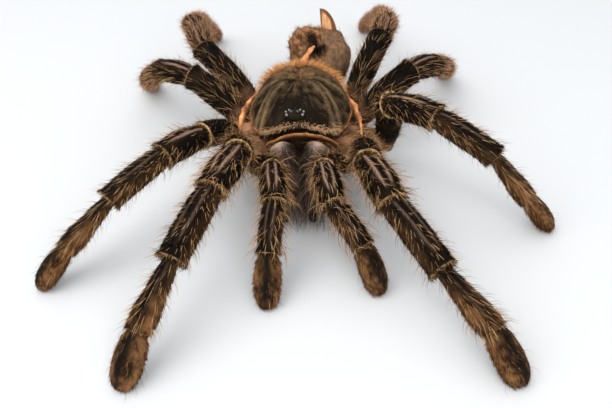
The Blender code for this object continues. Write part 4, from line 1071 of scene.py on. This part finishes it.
def carapace_colour(values, at):
    """Colour of the shield: olive flecks along its rays, pale ridges, a salmon margin and a black head."""
    x, back = at[..., 0], at[..., 1] - FOVEA_Y
    uneven = bumps(at, 0.7, 1.0, 11.0)
    away = np.arctan2(x, back)
    flecks = bumps(np.stack([away * 26, np.hypot(x, at[..., 1]) * 0.25, away * 0], axis=-1), 1.0, 1.0, 2.0)
    shade = np.clip(0.38 + 1.2 * uneven + 1.3 * flecks, 0, 1)
    front = mix(OLIVE * 0.2, OLIVE * 1.7, shade)
    colour = mix(front, mix(OLIVE_REAR * 0.35, OLIVE_REAR * 1.7, shade), smooth((back + 2.0) / 4.0))
    colour = mix(colour, STREAK, np.clip(values["ridge"] * (0.75 + flecks), 0, 0.9))
    line = bell(back + 0.25 * np.abs(x), 0.25) * smooth((2.6 - np.abs(x)) / 1.5)
    colour = mix(colour, STREAK, 0.6 * line)
    colour = mix(colour, SALMON * 0.8, np.clip(values["margin"], 0, 1))
    pale = np.clip(0.35 * values["ridge"] + 0.35 * np.clip(flecks, 0, 1), 0, 0.6)
    return mix(colour, BLACK, np.clip(values["black"] * (0.93 - pale), 0, 1))


def core_surface():
    """The side wall of soft skin between carapace and sternum, a little inside its solid."""
    turns = circle(CORE_SIDES)
    rows = []
    for z, share in CORE_ROWS:
        x = CORE_HALF_WIDTH * share * np.cos(turns)
        y = CORE_HALF_LENGTH * share * np.sin(turns)
        rows.append(np.stack([x, y, np.full(CORE_SIDES, z)], axis=-1))
    surface = plain_surface(rows, MEMBRANE * 0.6, 0.2, CORE_CELL, away=(0, 0, 7))
    # Painted shade darkens the front of the wall, under the lip and behind the jaws.
    shade = smooth((surface.grid[..., 1] + 7.5) / 2.0)
    surface.tint = mix(VELVET_WARM, surface.tint, shade)
    return surface


def band_surface(mirror):
    """A fold of salmon skin between the shield and the hips, with painted shadow on its inner side."""
    line, steps = resample(BAND_POINTS[mirror], 30, even=True)
    radii = BAND_RADIUS * (0.35 + 0.65 * np.sin(np.pi * steps / steps[-1])) * (1 + bumps(line, 0.9, 0.7))
    surface = plain_surface(tube(line, radii, 16, radii * 0.7), SALMON * 0.8, 0.3, uneven=0.5)
    inward = -mirror * (surface.grid[..., 0] - line[:, None, 0]) / radii[:, None]
    # Painted shadow: the inner side, in the gap against the shield, is darkened towards rust red.
    surface.tint = mix(surface.tint, RUST_AND_SHADOW, smooth((inward + 0.1) / 0.8) * 0.9)
    return surface


def hood_surface():
    """The arched orange lip of soft skin over the jaws, as a flattened tube with a thin front edge."""
    across = np.linspace(-1, 1, HOOD_COLUMNS)
    arch = 1 - across ** 2
    x = HOOD_SHIFT + HOOD_HALF_WIDTH * across
    lip = np.stack([x, HOOD_END_Y - HOOD_REACH * arch, HOOD_END_Z + HOOD_RISE * arch], axis=-1)
    lip[:, 2] += bumps(lip, 1.3, 0.25)
    root = np.stack([x * HOOD_ROOT_SHARE, np.full(HOOD_COLUMNS, HOOD_ROOT_Y),
                     np.full(HOOD_COLUMNS, CARAPACE_RIM_Z - HOOD_ROOT_DROP)], axis=-1)
    half = HOOD_THICKNESS / 2 * 0.9
    grid = [mix(lip, root, share) + UP * half * thick for share, thick in HOOD_TOP]
    grid += [mix(lip, root, share) - UP * half * thick for share, thick in HOOD_UNDERSIDE]
    grid = np.swapaxes(np.array(grid), 0, 1)
    surface = plain_surface(grid, LIP, 0.45, away=(0, -8.5, 7.0))
    # Painted shade: the lip keeps its bright orange only along its top front edge; behind and under it, it is
    # darker.
    unshaded_edge = bell(np.arange(grid.shape[1]) - 1.5, 1.7)
    surface.tint = mix(MEMBRANE * 0.3, surface.tint, np.broadcast_to(unshaded_edge, grid.shape[:2]))
    return surface


def waist_surface():
    start = np.array([0.0, WAIST_START_Y - WAIST_SUNK, WAIST_START_Z])
    end = np.array(WAIST_END) + WAIST_REACH
    line = [mix(start, end, k / 6) for k in range(len(WAIST_RADII))]
    return plain_surface(tube(line, WAIST_RADII, 20), MEMBRANE * 0.7, 0.2)


def chelicera_surface(mirror, cell):
    """One jaw: a bulging top, bald with a painted highlight, narrowing down to the fang's root."""
    places = np.linspace(0, len(CHELICERA_SECTIONS) - 1, 30)
    columns = np.array(CHELICERA_SECTIONS).T
    rows = []
    for place in places:
        x, y, z, width, height, lean = (np.interp(place, np.arange(len(c)), c) for c in columns)
        rise = np.cross(direction(-90, -lean), ACROSS)
        rise = rise if rise[2] > 0 else -rise
        centre = np.array([JAW_SHIFT + mirror * x, y, z])
        rows.append(ring(centre, ACROSS, rise, width * SKIN_INSET, height * SKIN_INSET, circle(JAW_SIDES)))
    grid = np.array(rows)
    turn = headings_round(JAW_SIDES)[None, :]
    place = places[:, None]
    bald = bell(turn - 90 + JAW_BALD_TURN * mirror, JAW_BALD_WIDTH)
    bald = bald * bell(place - JAW_BALD_PLACE, JAW_BALD_LENGTH)
    surface = Surface(grid, cell, bald=bald, gloss=np.clip(bald * 1.3 + 0.1, 0, 1), place=place,
                      top=np.sin(np.radians(turn)))
    uneven = 1 + bumps(grid, 1.1, 0.5)
    # The bald patch is pale, and its colour also paints the highlight where the lamps shine on the dome.
    surface.tint = mix(JAW_SKIN, JAW_BALD_HIGHLIGHT, np.clip(bald * 1.3, 0, 1)) * uneven[..., None]
    return surface


def fang_surface(mirror):
    points = [(JAW_SHIFT + mirror * x, y, z) for x, y, z in FANG_POINTS]
    line, steps = resample(points, 20, even=True)
    radii = np.interp(steps, np.arange(len(points)), FANG_RADII) * SKIN_INSET
    return plain_surface(tube(line, radii, 16, across=ACROSS), BLACK, 1.0, uneven=0.0)


def tubercle_foot_z():
    """Height of the carapace where the mound of the eyes stands."""
    share = TUBERCLE_SEAT_SHARE
    height = THORAX_HEIGHT * (1 - share ** THORAX_POWER)
    caput = abs((TUBERCLE_Y - CAPUT_CENTRE_Y) / CAPUT_HALF_LENGTH)
    bulge = CAPUT_HEIGHT * math.exp(-caput ** 4) * (1 - share ** CAPUT_POWER)
    return CARAPACE_RIM_Z + height + bulge - TUBERCLE_SEAT_DEPTH


def tubercle_surface():
    turns = circle(TUBERCLE_SIDES)
    foot = tubercle_foot_z() - TUBERCLE_SUNK
    rows = []
    for rise, share in TUBERCLE_ROWS:
        x = TUBERCLE_X + TUBERCLE_HALF_WIDTH * share * np.cos(turns)
        y = TUBERCLE_Y + TUBERCLE_HALF_LENGTH * share * np.sin(turns)
        z = np.full(TUBERCLE_SIDES, foot + (TUBERCLE_HEIGHT + 0.3) * rise)
        rows.append(np.stack([x, y, z], axis=-1))
    return plain_surface(rows, BLACK * 1.5, 0.7, away=(TUBERCLE_X, TUBERCLE_Y, foot - 1))


def eye_surface(kind, side):
    """One eye as a ball that sits in the mound."""
    out, ahead, rise, radius = EYES[kind]
    z = tubercle_foot_z() + 0.3 + TUBERCLE_HEIGHT * rise - EYE_SUNK
    centre = (TUBERCLE_X + side * out, TUBERCLE_Y - ahead, z)
    turns = circle(20)
    rows = []
    for k in range(1, 14):
        pitch = math.radians(-90 + 180 * k / 14)
        level, height = math.cos(pitch), np.full(20, math.sin(pitch))
        around = np.stack([np.cos(turns) * level, np.sin(turns) * level, height], axis=-1)
        rows.append(np.asarray(centre) + around * radius)
    surface = Surface(rows, away=centre, gloss=1.0)
    surface.tint = np.broadcast_to(BLACK, surface.grid.shape)
    return surface


def build_eyes():
    """Eight eyes on the mound: dark domes in front, paler ones at the sides and behind."""
    front = [eye_surface("front_middle", side) for side in (-1, 1)]
    others = [eye_surface(kind, side) for kind in EYES if kind != "front_middle" for side in (-1, 1)]
    skin_object("eyes_dark", front, eye_material("eye_dark", EYE_DARK))
    skin_object("eyes_pale", others, eye_material("eye_pale", EYE_PALE))


# The abdomen

def abdomen_point(heading, pitch):
    """Places on the abdomen's wrinkled skin by their direction from its middle."""
    h, p = np.radians(heading), np.radians(pitch)
    way = np.stack([np.cos(h) * np.cos(p), np.sin(h) * np.cos(p), np.sin(p)], axis=-1)
    depth = np.zeros(np.shape(heading))
    for fold_heading, fold_pitch, fold_depth, spread in ABDOMEN_FOLDS.values():
        depth = depth + fold_depth * bell(angle_from(way, fold_heading, fold_pitch), spread)
    ripple = np.sin(np.radians(heading * ABDOMEN_RIPPLES + pitch * 2)) * np.cos(p)
    depth = depth + ABDOMEN_RIPPLE_DEPTH * ripple
    return ABDOMEN_CENTRE + way * ABDOMEN_HALF_SIZE - way * depth[..., None]


def abdomen_surface():
    """Fallen-in skin: crumpled and creased, smoother on its left lobe, painted shade in its cavities."""
    heading, pitch = np.meshgrid(headings_round(ABDOMEN_COLUMNS), np.linspace(-88, 88, ABDOMEN_ROWS))
    grid = abdomen_point(heading, pitch)
    way = unit(grid - ABDOMEN_CENTRE)
    lobe = smooth((grid[..., 0] - 3.4) / 1.6) * smooth((grid[..., 2] - 7.5) / 2.5)
    crumple = bumps(grid, 0.5, 0.9) + bumps(grid, 1.2, 0.45, 7.0)
    creases = np.abs(bumps(grid * [1, 1, 0.5], 0.7, 1.0, 21.0))
    depth = 0.3 + crumple * (1 - 0.7 * lobe) + 0.8 * bell(creases, 0.12) * (1 - 0.6 * lobe)
    dark = np.zeros(depth.shape)
    for cavity_heading, cavity_pitch, hollow, spread in CAVITIES:
        apart = angle_from(way, cavity_heading, cavity_pitch)
        depth = depth + hollow * bell(apart, spread)
        dark = np.maximum(dark, smooth(1.8 - apart / spread))
    press_heading, press_pitch, hollow, spread = LOBE_PRESS
    depth = depth + hollow * bell(angle_from(way, press_heading, press_pitch), spread)
    grid = grid - way * depth[..., None]
    surface = Surface(grid, ABDOMEN_CELL, away=ABDOMEN_CENTRE, dark=dark, lobe=lobe,
                      gloss=0.1 + 0.2 * lobe, crease=bell(creases, 0.1) * (1 - lobe))
    surface.tint = abdomen_colour(surface.values, grid)
    return surface


def abdomen_colour(values, at):
    """Abdomen colour: brown, salmon in front, painted shade under the left lobe, in creases and low down."""
    x, y, z = at[..., 0], at[..., 1], at[..., 2]
    uneven = np.clip(0.5 + bumps(at, 0.9, 1.2, 5.0) + bumps(at * [1, 1, 0.4], 2.2, 0.9, 8.0), 0, 1)
    colour = mix(ABDOMEN_SKIN * 0.25, ABDOMEN_SKIN * 1.6, uneven)
    lobe = ABDOMEN_LOBE * (0.75 + 0.5 * uneven[..., None])
    colour = mix(colour, lobe, values["lobe"] * (1 - values["dark"]))
    # Painted shade under the left lobe, on its lower outer side.
    under_lobe_shade = smooth((x - 5.0) / 2.5) * smooth((11.8 - z) / 3.0)
    colour = mix(colour, BLACK, under_lobe_shade * 0.9)
    # Painted shade in the creases.
    colour = mix(colour, ABDOMEN_SKIN * 0.25, np.clip(values["crease"], 0, 1))
    front = smooth((15.2 - y) / 2.0) * smooth((4.0 - x) / 2.0) * smooth((13.4 - z) / 1.5)
    colour = mix(colour, SALMON * 0.7, front * 0.8)
    # Painted shade low down, towards the floor.
    low = smooth((10.5 - z) / 3.5)
    colour = mix(colour, ABDOMEN_SKIN * 0.2, low * 0.9)
    # Painted shade: the cavities are painted nearly black.
    return mix(colour, BLACK, np.clip(values["dark"] * 1.25, 0, 0.97))


def strand_surface():
    """A ragged orange strip of skin across the hollow."""
    line, steps = resample(STRAND_POINTS, 18)
    radii = STRAND_RADIUS * (1 - 0.65 * steps / steps[-1]) * (1 + bumps(line, 1.5, 0.6))
    return plain_surface(tube(line, radii, 12, radii * 0.5), SALMON * 0.75, 0.2, uneven=0.5)


def flap_surface():
    """The fold of dry skin that stands up: a tan leaf with a thick dark edge, straight on one side."""
    root, front = np.array(FLAP_ROOT), -BACKWARDS
    lean = direction(90, 90 - FLAP_LEAN)
    across = np.linspace(-1, 1, FLAP_COLUMNS)
    rises = np.concatenate([np.linspace(-0.2, 0.9, 20), [0.94, 0.97, 0.985, 0.998]])
    rows = []
    for rise in rises:
        up = max(rise, 0.0)
        turn = max(0.0, up - FLAP_STRAIGHT_SHARE) / (1 - FLAP_STRAIGHT_SHARE)
        half = FLAP_WIDTH / 2 * math.sqrt(1 - turn ** 2)
        centre = root + lean * (FLAP_HEIGHT * SKIN_INSET * rise) + np.array([half - FLAP_SLANT * up, 0, 0])
        cup = FLAP_CUP * math.sin(math.pi * min(up + 0.1, 1.0))
        line = centre + np.outer(half * SKIN_INSET * across, ACROSS)
        line = line + np.outer(cup * (across ** 2 - 0.4), front)
        thick = (0.18 + 0.3 * np.clip(np.abs(across) - 0.5, 0, 1)) * (1 - 0.55 * up)
        rows.append(np.concatenate([line + np.outer(thick, front), (line - np.outer(thick, front))[::-1]]))
    grid = np.array(rows)
    grid = grid + bumps(grid, 1.1, 0.16)[..., None] * front
    side = np.concatenate([across, across[::-1]])[None, :]
    panel = np.hypot((side + 0.2) / 0.66, (rises[:, None] - 0.44) / 0.45)
    before = np.concatenate([np.ones(FLAP_COLUMNS), np.zeros(FLAP_COLUMNS)])[None, :]
    surface = Surface(grid, gloss=0.25)
    veins = bumps(grid * [2.2, 1, 0.3], 1.3, 0.5)
    tan = before * smooth((1.08 - panel) / 0.2) * (0.9 + veins) + 0.25 * veins
    surface.tint = mix(FLAP_EDGE, FLAP_TAN, np.clip(tan, 0, 1))
    return surface


def spinneret_surface(side):
    """A spinneret of three segments, each thinner than the one before and bent a little upwards."""
    heading = SPINNERET_HEADINGS[side]
    seat = abdomen_point(np.array(heading), np.array(SPINNERET_PITCH))
    way = direction(heading, SPINNERET_PITCH)
    line, radii = [seat - way * 0.9], [SPINNERET_RADIUS]
    radius = SPINNERET_RADIUS
    at = seat + way * 0.45
    for length in SPINNERET_LENGTHS:
        for share, swell in SPINNERET_SWELLS:
            line.append(at + way * length * share)
            radii.append(radius * swell * 0.96)
        at = at + way * length
        line.append(at)
        radii.append(radius * SPINNERET_NECK)
        radius *= SPINNERET_TAPER
        way = unit(way + UP * 0.16)
    line.append(at + way * 0.35)
    radii.append(radius * 0.4)
    return plain_surface(tube(line, radii, 16), VELVET_WARM * 1.5, 0.2)


# The coat

def between(rng, roots, first, second, power=1.0):
    """A colour for each hair, somewhere between two; a power above 1 keeps more of them near the first."""
    return mix(first, second, rng.random(len(roots["at"])) ** power)


def two_sorts(rng, roots, dark_share, light):
    """A colour for each hair: dark brown for some, and a lighter one, a little uneven, for the others."""
    pick = rng.random(len(roots["at"]))
    return mix(VELVET_WARM, light, np.where(pick < dark_share, 0.1, 0.55 + 0.45 * rng.random(len(pick))))


def grow_velvet(surface, v, body, rng, coats):
    """Black velvet, and the short flat coat of the feet."""
    roots = surface.scatter(rng, 18, body * (1 - 0.96 * v["coxa"]))
    flat = roots["tarsus"] > 0.5
    # The velvet takes the limb's colour, with the painted light and shade in it.
    colour = limb_colour(roots, roots["at"])
    length, lift = np.where(flat, 0.6, 0.85), np.where(flat, 13, 20)
    coats["velvet"].grow(rng, roots, length=length, width=0.12, lift=lift, colour=colour, tip_light_painted=1.5,
                         uneven=0.5)


def grow_golden_hairs(surface, v, body, kind, rng, coats):
    """Hairs that stand out along the sides, and long straight golden ones that lie along the segments."""
    setae = coats["setae"]
    sides = np.abs(np.cos(np.radians(v["turn"])))
    foot = np.clip(v["tarsus"] + 0.5 * v["brown"] * (v["tarsus"] < 0.5), 0, 1)
    calm = (1 - 0.97 * v["tarsus"]) * (1 - 0.4 * v["femur"]) * body
    roots = surface.scatter(rng, 3.2, calm * (0.10 + 0.90 * sides ** 2))
    setae.grow(rng, roots, length=2.3, width=0.05, lift=48,
               colour=two_sorts(rng, roots, 0.5, GOLDEN * 0.7), bend=18, sections=2, tip_light_painted=1.5)

    plenty = 0.6 if kind in FLUFF else 1.1
    roots = surface.scatter(rng, plenty, calm * (1 - 0.4 * foot) * smooth((v["top"] + 0.7) / 0.6))
    colour = between(rng, roots, GOLDEN * 0.7, GOLDEN)
    short = roots["tibia"]
    setae.grow(rng, roots, length=2.6 - 1.0 * short, width=0.068, lift=17 + 16 * short, colour=colour,
               bend=4, sway=0.15, sections=2, curl=0.06, lie=roots["along"] - 0.45 * UP, lie_share=1.0,
               tip_light_painted=1.6)

    # Those of the feet are shorter and darker.
    roots = surface.scatter(rng, 3, foot * body * (0.3 + sides))
    colour = two_sorts(rng, roots, 0.45, GOLDEN * 0.55)
    setae.grow(rng, roots, length=1.1, width=0.055, lift=17, colour=colour, sway=0.2,
               lie=roots["along"] - 0.3 * UP, lie_share=1.0)
    roots = surface.scatter(rng, 7, v["tarsus"] * body * sides ** 2)
    setae.grow(rng, roots, length=0.9, width=0.055, lift=30, colour=TAWNY * 1.6, sway=0.2)


def grow_rims_and_soles(surface, v, rng, coats):
    """Pale hairs round the far ends of segments, and rusty velvet under the feet."""
    roots = surface.scatter(rng, 28, v["rim"] * smooth((v["top"] + 0.8) / 0.5))
    colour = between(rng, roots, RIM * 0.7, RIM)
    coats["setae"].grow(rng, roots, length=0.6, width=0.07, lift=20, colour=colour, bend=10, sway=0.4,
                        sections=2, tip_light_painted=1.1)
    roots = surface.scatter(rng, 16, v["foot"] * (1 - v["joint"]))
    coats["velvet"].grow(rng, roots, length=0.75, width=0.12, lift=38,
                         colour=between(rng, roots, RUST_AND_SHADOW, RUST_AND_SHADOW * 0.5), sway=0.3)


def grow_fluff(surface, v, body, rng, coats):
    """The fluffy brown ends of the hind legs."""
    roots = surface.scatter(rng, 8, body * v["fluff"])
    colour = between(rng, roots, TAWNY * 0.6, FLUFF_TAN, 0.7)
    coats["setae"].grow(rng, roots, length=1.35, width=0.085, lift=40, colour=colour, bend=10, sway=0.4,
                        sections=2, tip_light_painted=1.3)


def grow_hip_hairs(surface, v, rng, coats):
    """Short dark and long golden hairs over the fleshy hips."""
    roots = surface.scatter(rng, 0.35, v["coxa"] * (1 - v["joint"]))
    colour = two_sorts(rng, roots, 0.5, GOLDEN * 0.6)
    coats["fringe"].grow(rng, roots, length=1.5, width=0.06, lift=30, colour=colour, bend=18, sway=0.6,
                         sections=2)
    near = np.clip(v["coxa"] + v["femur"] * (v["share"] < 0.6), 0, 1) * (1 - v["joint"])
    roots = surface.scatter(rng, 0.45, near * smooth((v["top"] + 0.3) / 0.5))
    colour = between(rng, roots, GOLDEN * 0.6, GOLDEN * 1.1)
    coats["setae"].grow(rng, roots, length=3.0, width=0.06, lift=46, colour=colour, bend=30, sway=0.35,
                        sections=3, curl=0.16)


def grow_curls(surface, v, body, kind, rng, coats):
    """Long curling hairs on the palps and the front legs' thick parts."""
    thick = v["femur"] + v["patella"] if kind == "leg_1" else 1 - v["tarsus"]
    sides = np.abs(np.cos(np.radians(v["turn"])))
    roots = surface.scatter(rng, 1.25, body * (0.3 + 0.7 * sides) * np.clip(thick - v["coxa"], 0, 1))
    colour = two_sorts(rng, roots, 0.3, GOLDEN)
    coats["jaw_hair"].grow(rng, roots, length=3.4, width=0.07, lift=44, colour=colour, bend=38,
                           sway=0.45, sections=3, curl=0.22)


def grow_limb_coats(limb, rng, coats):
    surface, v = limb.surface, limb.surface.values
    body = np.clip(1 - v["bald"] * 1.3, 0, 1) * np.clip(1 - v["joint"], 0, 1) * (1 - v["rim"])
    grow_velvet(surface, v, body, rng, coats)
    grow_golden_hairs(surface, v, body, limb.kind, rng, coats)
    grow_rims_and_soles(surface, v, rng, coats)
    if limb.kind in FLUFF:
        grow_fluff(surface, v, body, rng, coats)
    grow_hip_hairs(surface, v, rng, coats)
    if limb.kind in CURLY_KINDS:
        grow_curls(surface, v, body, limb.kind, rng, coats)


def grow_carapace_down(surface, v, top, rng, coats):
    """Short down that lies outwards from the fovea."""
    roots = surface.scatter(rng, 36, top * (1 - 0.95 * v["black"]) * (1 - 0.7 * v["margin"]))
    outward = roots["at"] - np.array([0, FOVEA_Y, 0])
    colour = carapace_colour(roots, roots["at"]) * 1.15
    coats["down"].grow(rng, roots, length=0.85, width=0.075, lift=11, colour=colour, sway=0.16,
                       lie=outward, tip_light_painted=1.8, uneven=0.5)


def grow_carapace_fringe(surface, v, top, rng, coats):
    """Curling hairs along the margin, longest and brightest behind."""
    side = smooth((v["ahead"] - 60) / 20) * smooth((v["share"] - 0.965) / 0.02)
    roots = surface.scatter(rng, 9, top * side)
    colour = two_sorts(rng, roots, 0.4, SALMON)
    coats["fringe"].grow(rng, roots, length=1.0, width=0.06, lift=26, colour=colour, bend=-6, sway=0.5,
                         sections=2)
    rear = 0.25 * smooth((v["ahead"] - 116) / 12) + 0.75 * smooth((v["ahead"] - 138) / 16)
    roots = surface.scatter(rng, 75, top * rear * smooth((v["share"] - 0.9) / 0.05))
    colour = between(rng, roots, PEACH, TAWNY, 4)
    length = 2.6 * smooth((roots["ahead"] - 105) / 45)
    coats["fringe"].grow(rng, roots, length=length, width=0.10, lift=54, colour=colour, bend=16,
                         sway=0.75, sections=2, tip_light_painted=1.5)


def grow_brow(surface, v, top, rng, coats):
    """Tan hairs over the jaws' roots, with black lashes under them, and a few stout bristles on the head."""
    front = smooth((50 - v["ahead"]) / 12) * top
    x = surface.grid[..., 0]
    brow = front * smooth((BROW_HALF_WIDTH - np.abs(x)) / 1.4) * (1 - 0.8 * bell(x + 0.1, 0.5))
    roots = surface.scatter(rng, 60, brow * bell(v["share"] - 0.93, 0.03))
    colour = between(rng, roots, TAWNY * 1.5, BROW)
    coats["fringe"].grow(rng, roots, length=0.95, width=0.10, lift=68, colour=colour, bend=30, sway=0.3,
                         sections=2)
    roots = surface.scatter(rng, 30, front * (v["share"] > 0.965))
    coats["down"].grow(rng, roots, length=1.3, width=0.10, lift=12, colour=BLACK, bend=70, sections=2)
    roots = surface.scatter(rng, 0.5, v["black"])
    coats["fringe"].grow(rng, roots, length=0.7, width=0.05, lift=40, colour=TAWNY, bend=20, sway=0.8,
                         sections=2)


def grow_carapace_coat(surface, rng, coats):
    v = surface.values
    top = v["share"] < 0.995
    grow_carapace_down(surface, v, top, rng, coats)
    grow_carapace_fringe(surface, v, top, rng, coats)
    grow_brow(surface, v, top, rng, coats)


def grow_jaw_coat(surface, rng, coats):
    """A dark coat, the beard, thickest low down, and fine hairs that stray over the bald tops."""
    v = surface.values
    body = np.clip(1 - v["bald"] * 1.3, 0, 1) * (v["place"] > 0.5)
    hair = coats["jaw_hair"]
    roots = surface.scatter(rng, 14, body)
    hair.grow(rng, roots, length=1.1, width=0.10, lift=26, colour=VELVET_WARM * 0.5, sway=0.3,
              lie=JAW_HAIR_LIE)
    roots = surface.scatter(rng, 8, body * smooth((v["place"] - 1.3) / 1.2))
    length = 2.3 + 2.2 * smooth((roots["place"] - 3.0) / 2)
    colour = two_sorts(rng, roots, 0.7, JAW_HAIR)
    hair.grow(rng, roots, length=length, width=0.065, lift=32, colour=colour, bend=24, sway=0.3,
              lie=JAW_HAIR_LIE, sections=3)
    roots = surface.scatter(rng, 1.2, v["bald"] * (v["top"] > 0.2))
    hair.grow(rng, roots, length=1.6, width=0.045, lift=22, colour=GOLDEN * 0.5, bend=14, sway=0.4,
              lie=JAW_HAIR_LIE, sections=2)


def grow_core_coat(surface, rng, coats):
    """Tangled salmon and dark hairs on the soft wall between carapace and coxae."""
    roots = surface.scatter(rng, 0.7, smooth((surface.grid[..., 2] - 5.0) / 1.0))
    colour = two_sorts(rng, roots, 0.5, SALMON)
    coats["fringe"].grow(rng, roots, length=1.6, width=0.06, lift=45, colour=colour, bend=10, sway=0.8,
                         sections=2)


def grow_abdomen_coat(surface, rng, coats):
    """Short down, and longer brown and golden hairs, both thinner on the left lobe."""
    v = surface.values
    roots = surface.scatter(rng, 9, (1 - 0.5 * v["lobe"]) * (1 - v["dark"]))
    # The down takes the skin's colour, with the painted shade in it.
    colour = abdomen_colour(roots, roots["at"])
    coats["down"].grow(rng, roots, length=0.8, width=0.10, lift=22, colour=colour, sway=0.5,
                       lie=ABDOMEN_HAIR_LIE)
    roots = surface.scatter(rng, 4.5, (1 - 0.85 * v["lobe"]) * (1 - v["dark"]))
    colour = between(rng, roots, ABDOMEN_HAIR * 0.5, GOLDEN * 0.7, 2)
    coats["setae"].grow(rng, roots, length=1.5, width=0.065, lift=38, colour=colour, bend=10, sway=0.6,
                        lie=ABDOMEN_HAIR_LIE, sections=2)


def new_coats():
    """The five sorts of hair, each with its slot and material."""
    looks = {"velvet": ("limb", "coat_velvet", 0.8, 0.0), "setae": ("limb", "coat_setae", 0.45, 0.25),
             "fringe": ("membrane", "coat_fringe", 0.5, 0.2), "down": ("carapace", "coat_down", 0.7, 0.05),
             "jaw_hair": ("chelicera", "coat_jaw", 0.55, 0.1)}
    return {name: Coat(name, slot, coat_material(*look)) for name, (slot, *look) in looks.items()}


# The scene round it

def build_stage():
    bpy.ops.mesh.primitive_plane_add(size=FLOOR_SIZE, location=(0, 0, FLOOR_Z))
    floor = bpy.context.object
    floor.name = "floor"
    floor.data.materials.append(floor_material())


def add_area_light(name, at, size, power, colour):
    light = bpy.data.lights.new(name, "AREA")
    light.shape = "DISK"
    light.size = size
    light.energy = power
    light.color = colour
    made = bpy.data.objects.new(name, light)
    made.location = at
    made.rotation_euler = (-Vector(at)).to_track_quat("-Z", "Y").to_euler()
    bpy.context.scene.collection.objects.link(made)


def build_lights():
    for name, light in LIGHTS.items():
        add_area_light(name, *light)
    sky = bpy.data.worlds.new("studio")
    sky.use_nodes = True
    background = sky.node_tree.nodes["Background"]
    background.inputs["Color"].default_value = SKY_COLOUR
    background.inputs["Strength"].default_value = SKY_STRENGTH
    bpy.context.scene.world = sky
    bpy.context.scene.view_settings.view_transform = "Standard"


def build_camera():
    forward = direction(CAMERA_HEADING, CAMERA_PITCH)
    level = unit(np.cross(forward, UP))
    lift = np.cross(level, forward)
    roll = math.radians(CAMERA_ROLL)
    right = level * math.cos(roll) + lift * math.sin(roll)
    top = -level * math.sin(roll) + lift * math.cos(roll)
    turn = Matrix([[*row] for row in np.stack([right, top, -forward], axis=1)]).to_4x4()
    camera = bpy.data.cameras.new("camera")
    camera.lens = CAMERA_LENS
    camera.sensor_width = CAMERA_SENSOR
    camera.clip_start = CAMERA_NEAR
    made = bpy.data.objects.new("camera", camera)
    made.matrix_world = Matrix.Translation(world(CAMERA_AT)) @ turn
    bpy.context.scene.collection.objects.link(made)
    bpy.context.scene.camera = made


def build_skin(limbs, core, abdomen, material):
    """All soft parts as one piece, in place of the solids of limbs, side wall, waist and abdomen."""
    soft = [limb.surface for limb in limbs]
    soft += [core, hood_surface(), waist_surface(), abdomen, strand_surface()]
    soft += [band_surface(-1), band_surface(1), flap_surface()]
    soft += [spinneret_surface(side) for side in SPINNERET_HEADINGS]
    flesh = [n for n in frame["nodes"] if n.startswith(("leg_", "palp_", "spinneret_"))]
    skin_object("skin", soft, material, [*flesh, "pleura", "pedicel", "abdomen"])


def build_hard_parts(shell, jaws, limbs, material):
    """Shield, jaws, fangs, the eyes and their mound, claws, and the look of the sternum."""
    skin_object("carapace_shell", [shell], shell_material(), ["carapace"])
    skin_object("chelicerae", jaws, jaw_material(), ["chelicera_right", "chelicera_left"])
    skin_object("fangs", [fang_surface(-1), fang_surface(1)], material, ["fang_right", "fang_left"])
    skin_object("tubercle", [tubercle_surface()], material, ["eye_tubercle"])
    build_eyes()
    skin_object("claws", [claw_surface(limb, sign) for limb in limbs for sign in (-1, 1)], material)
    frame["nodes"]["sternum"].material_slots[0].material = sternum_material()


def main():
    build_camera()
    build_stage()
    build_lights()
    limbs = [Limb(name, (k % CELLS_ACROSS, k // CELLS_ACROSS)) for k, name in enumerate(POSES)]
    core, abdomen, shell = core_surface(), abdomen_surface(), carapace_surface()
    jaws = [chelicera_surface(-1, JAW_RIGHT_CELL), chelicera_surface(1, JAW_LEFT_CELL)]
    hide = skin_material()
    build_skin(limbs, core, abdomen, hide)
    build_hard_parts(shell, jaws, limbs, hide)

    rng = np.random.default_rng(SEED)
    coats = new_coats()
    for limb in limbs:
        grow_limb_coats(limb, rng, coats)
    grow_carapace_coat(shell, rng, coats)
    for jaw in jaws:
        grow_jaw_coat(jaw, rng, coats)
    grow_core_coat(core, rng, coats)
    grow_abdomen_coat(abdomen, rng, coats)
    for coat in coats.values():
        coat.build()


main()
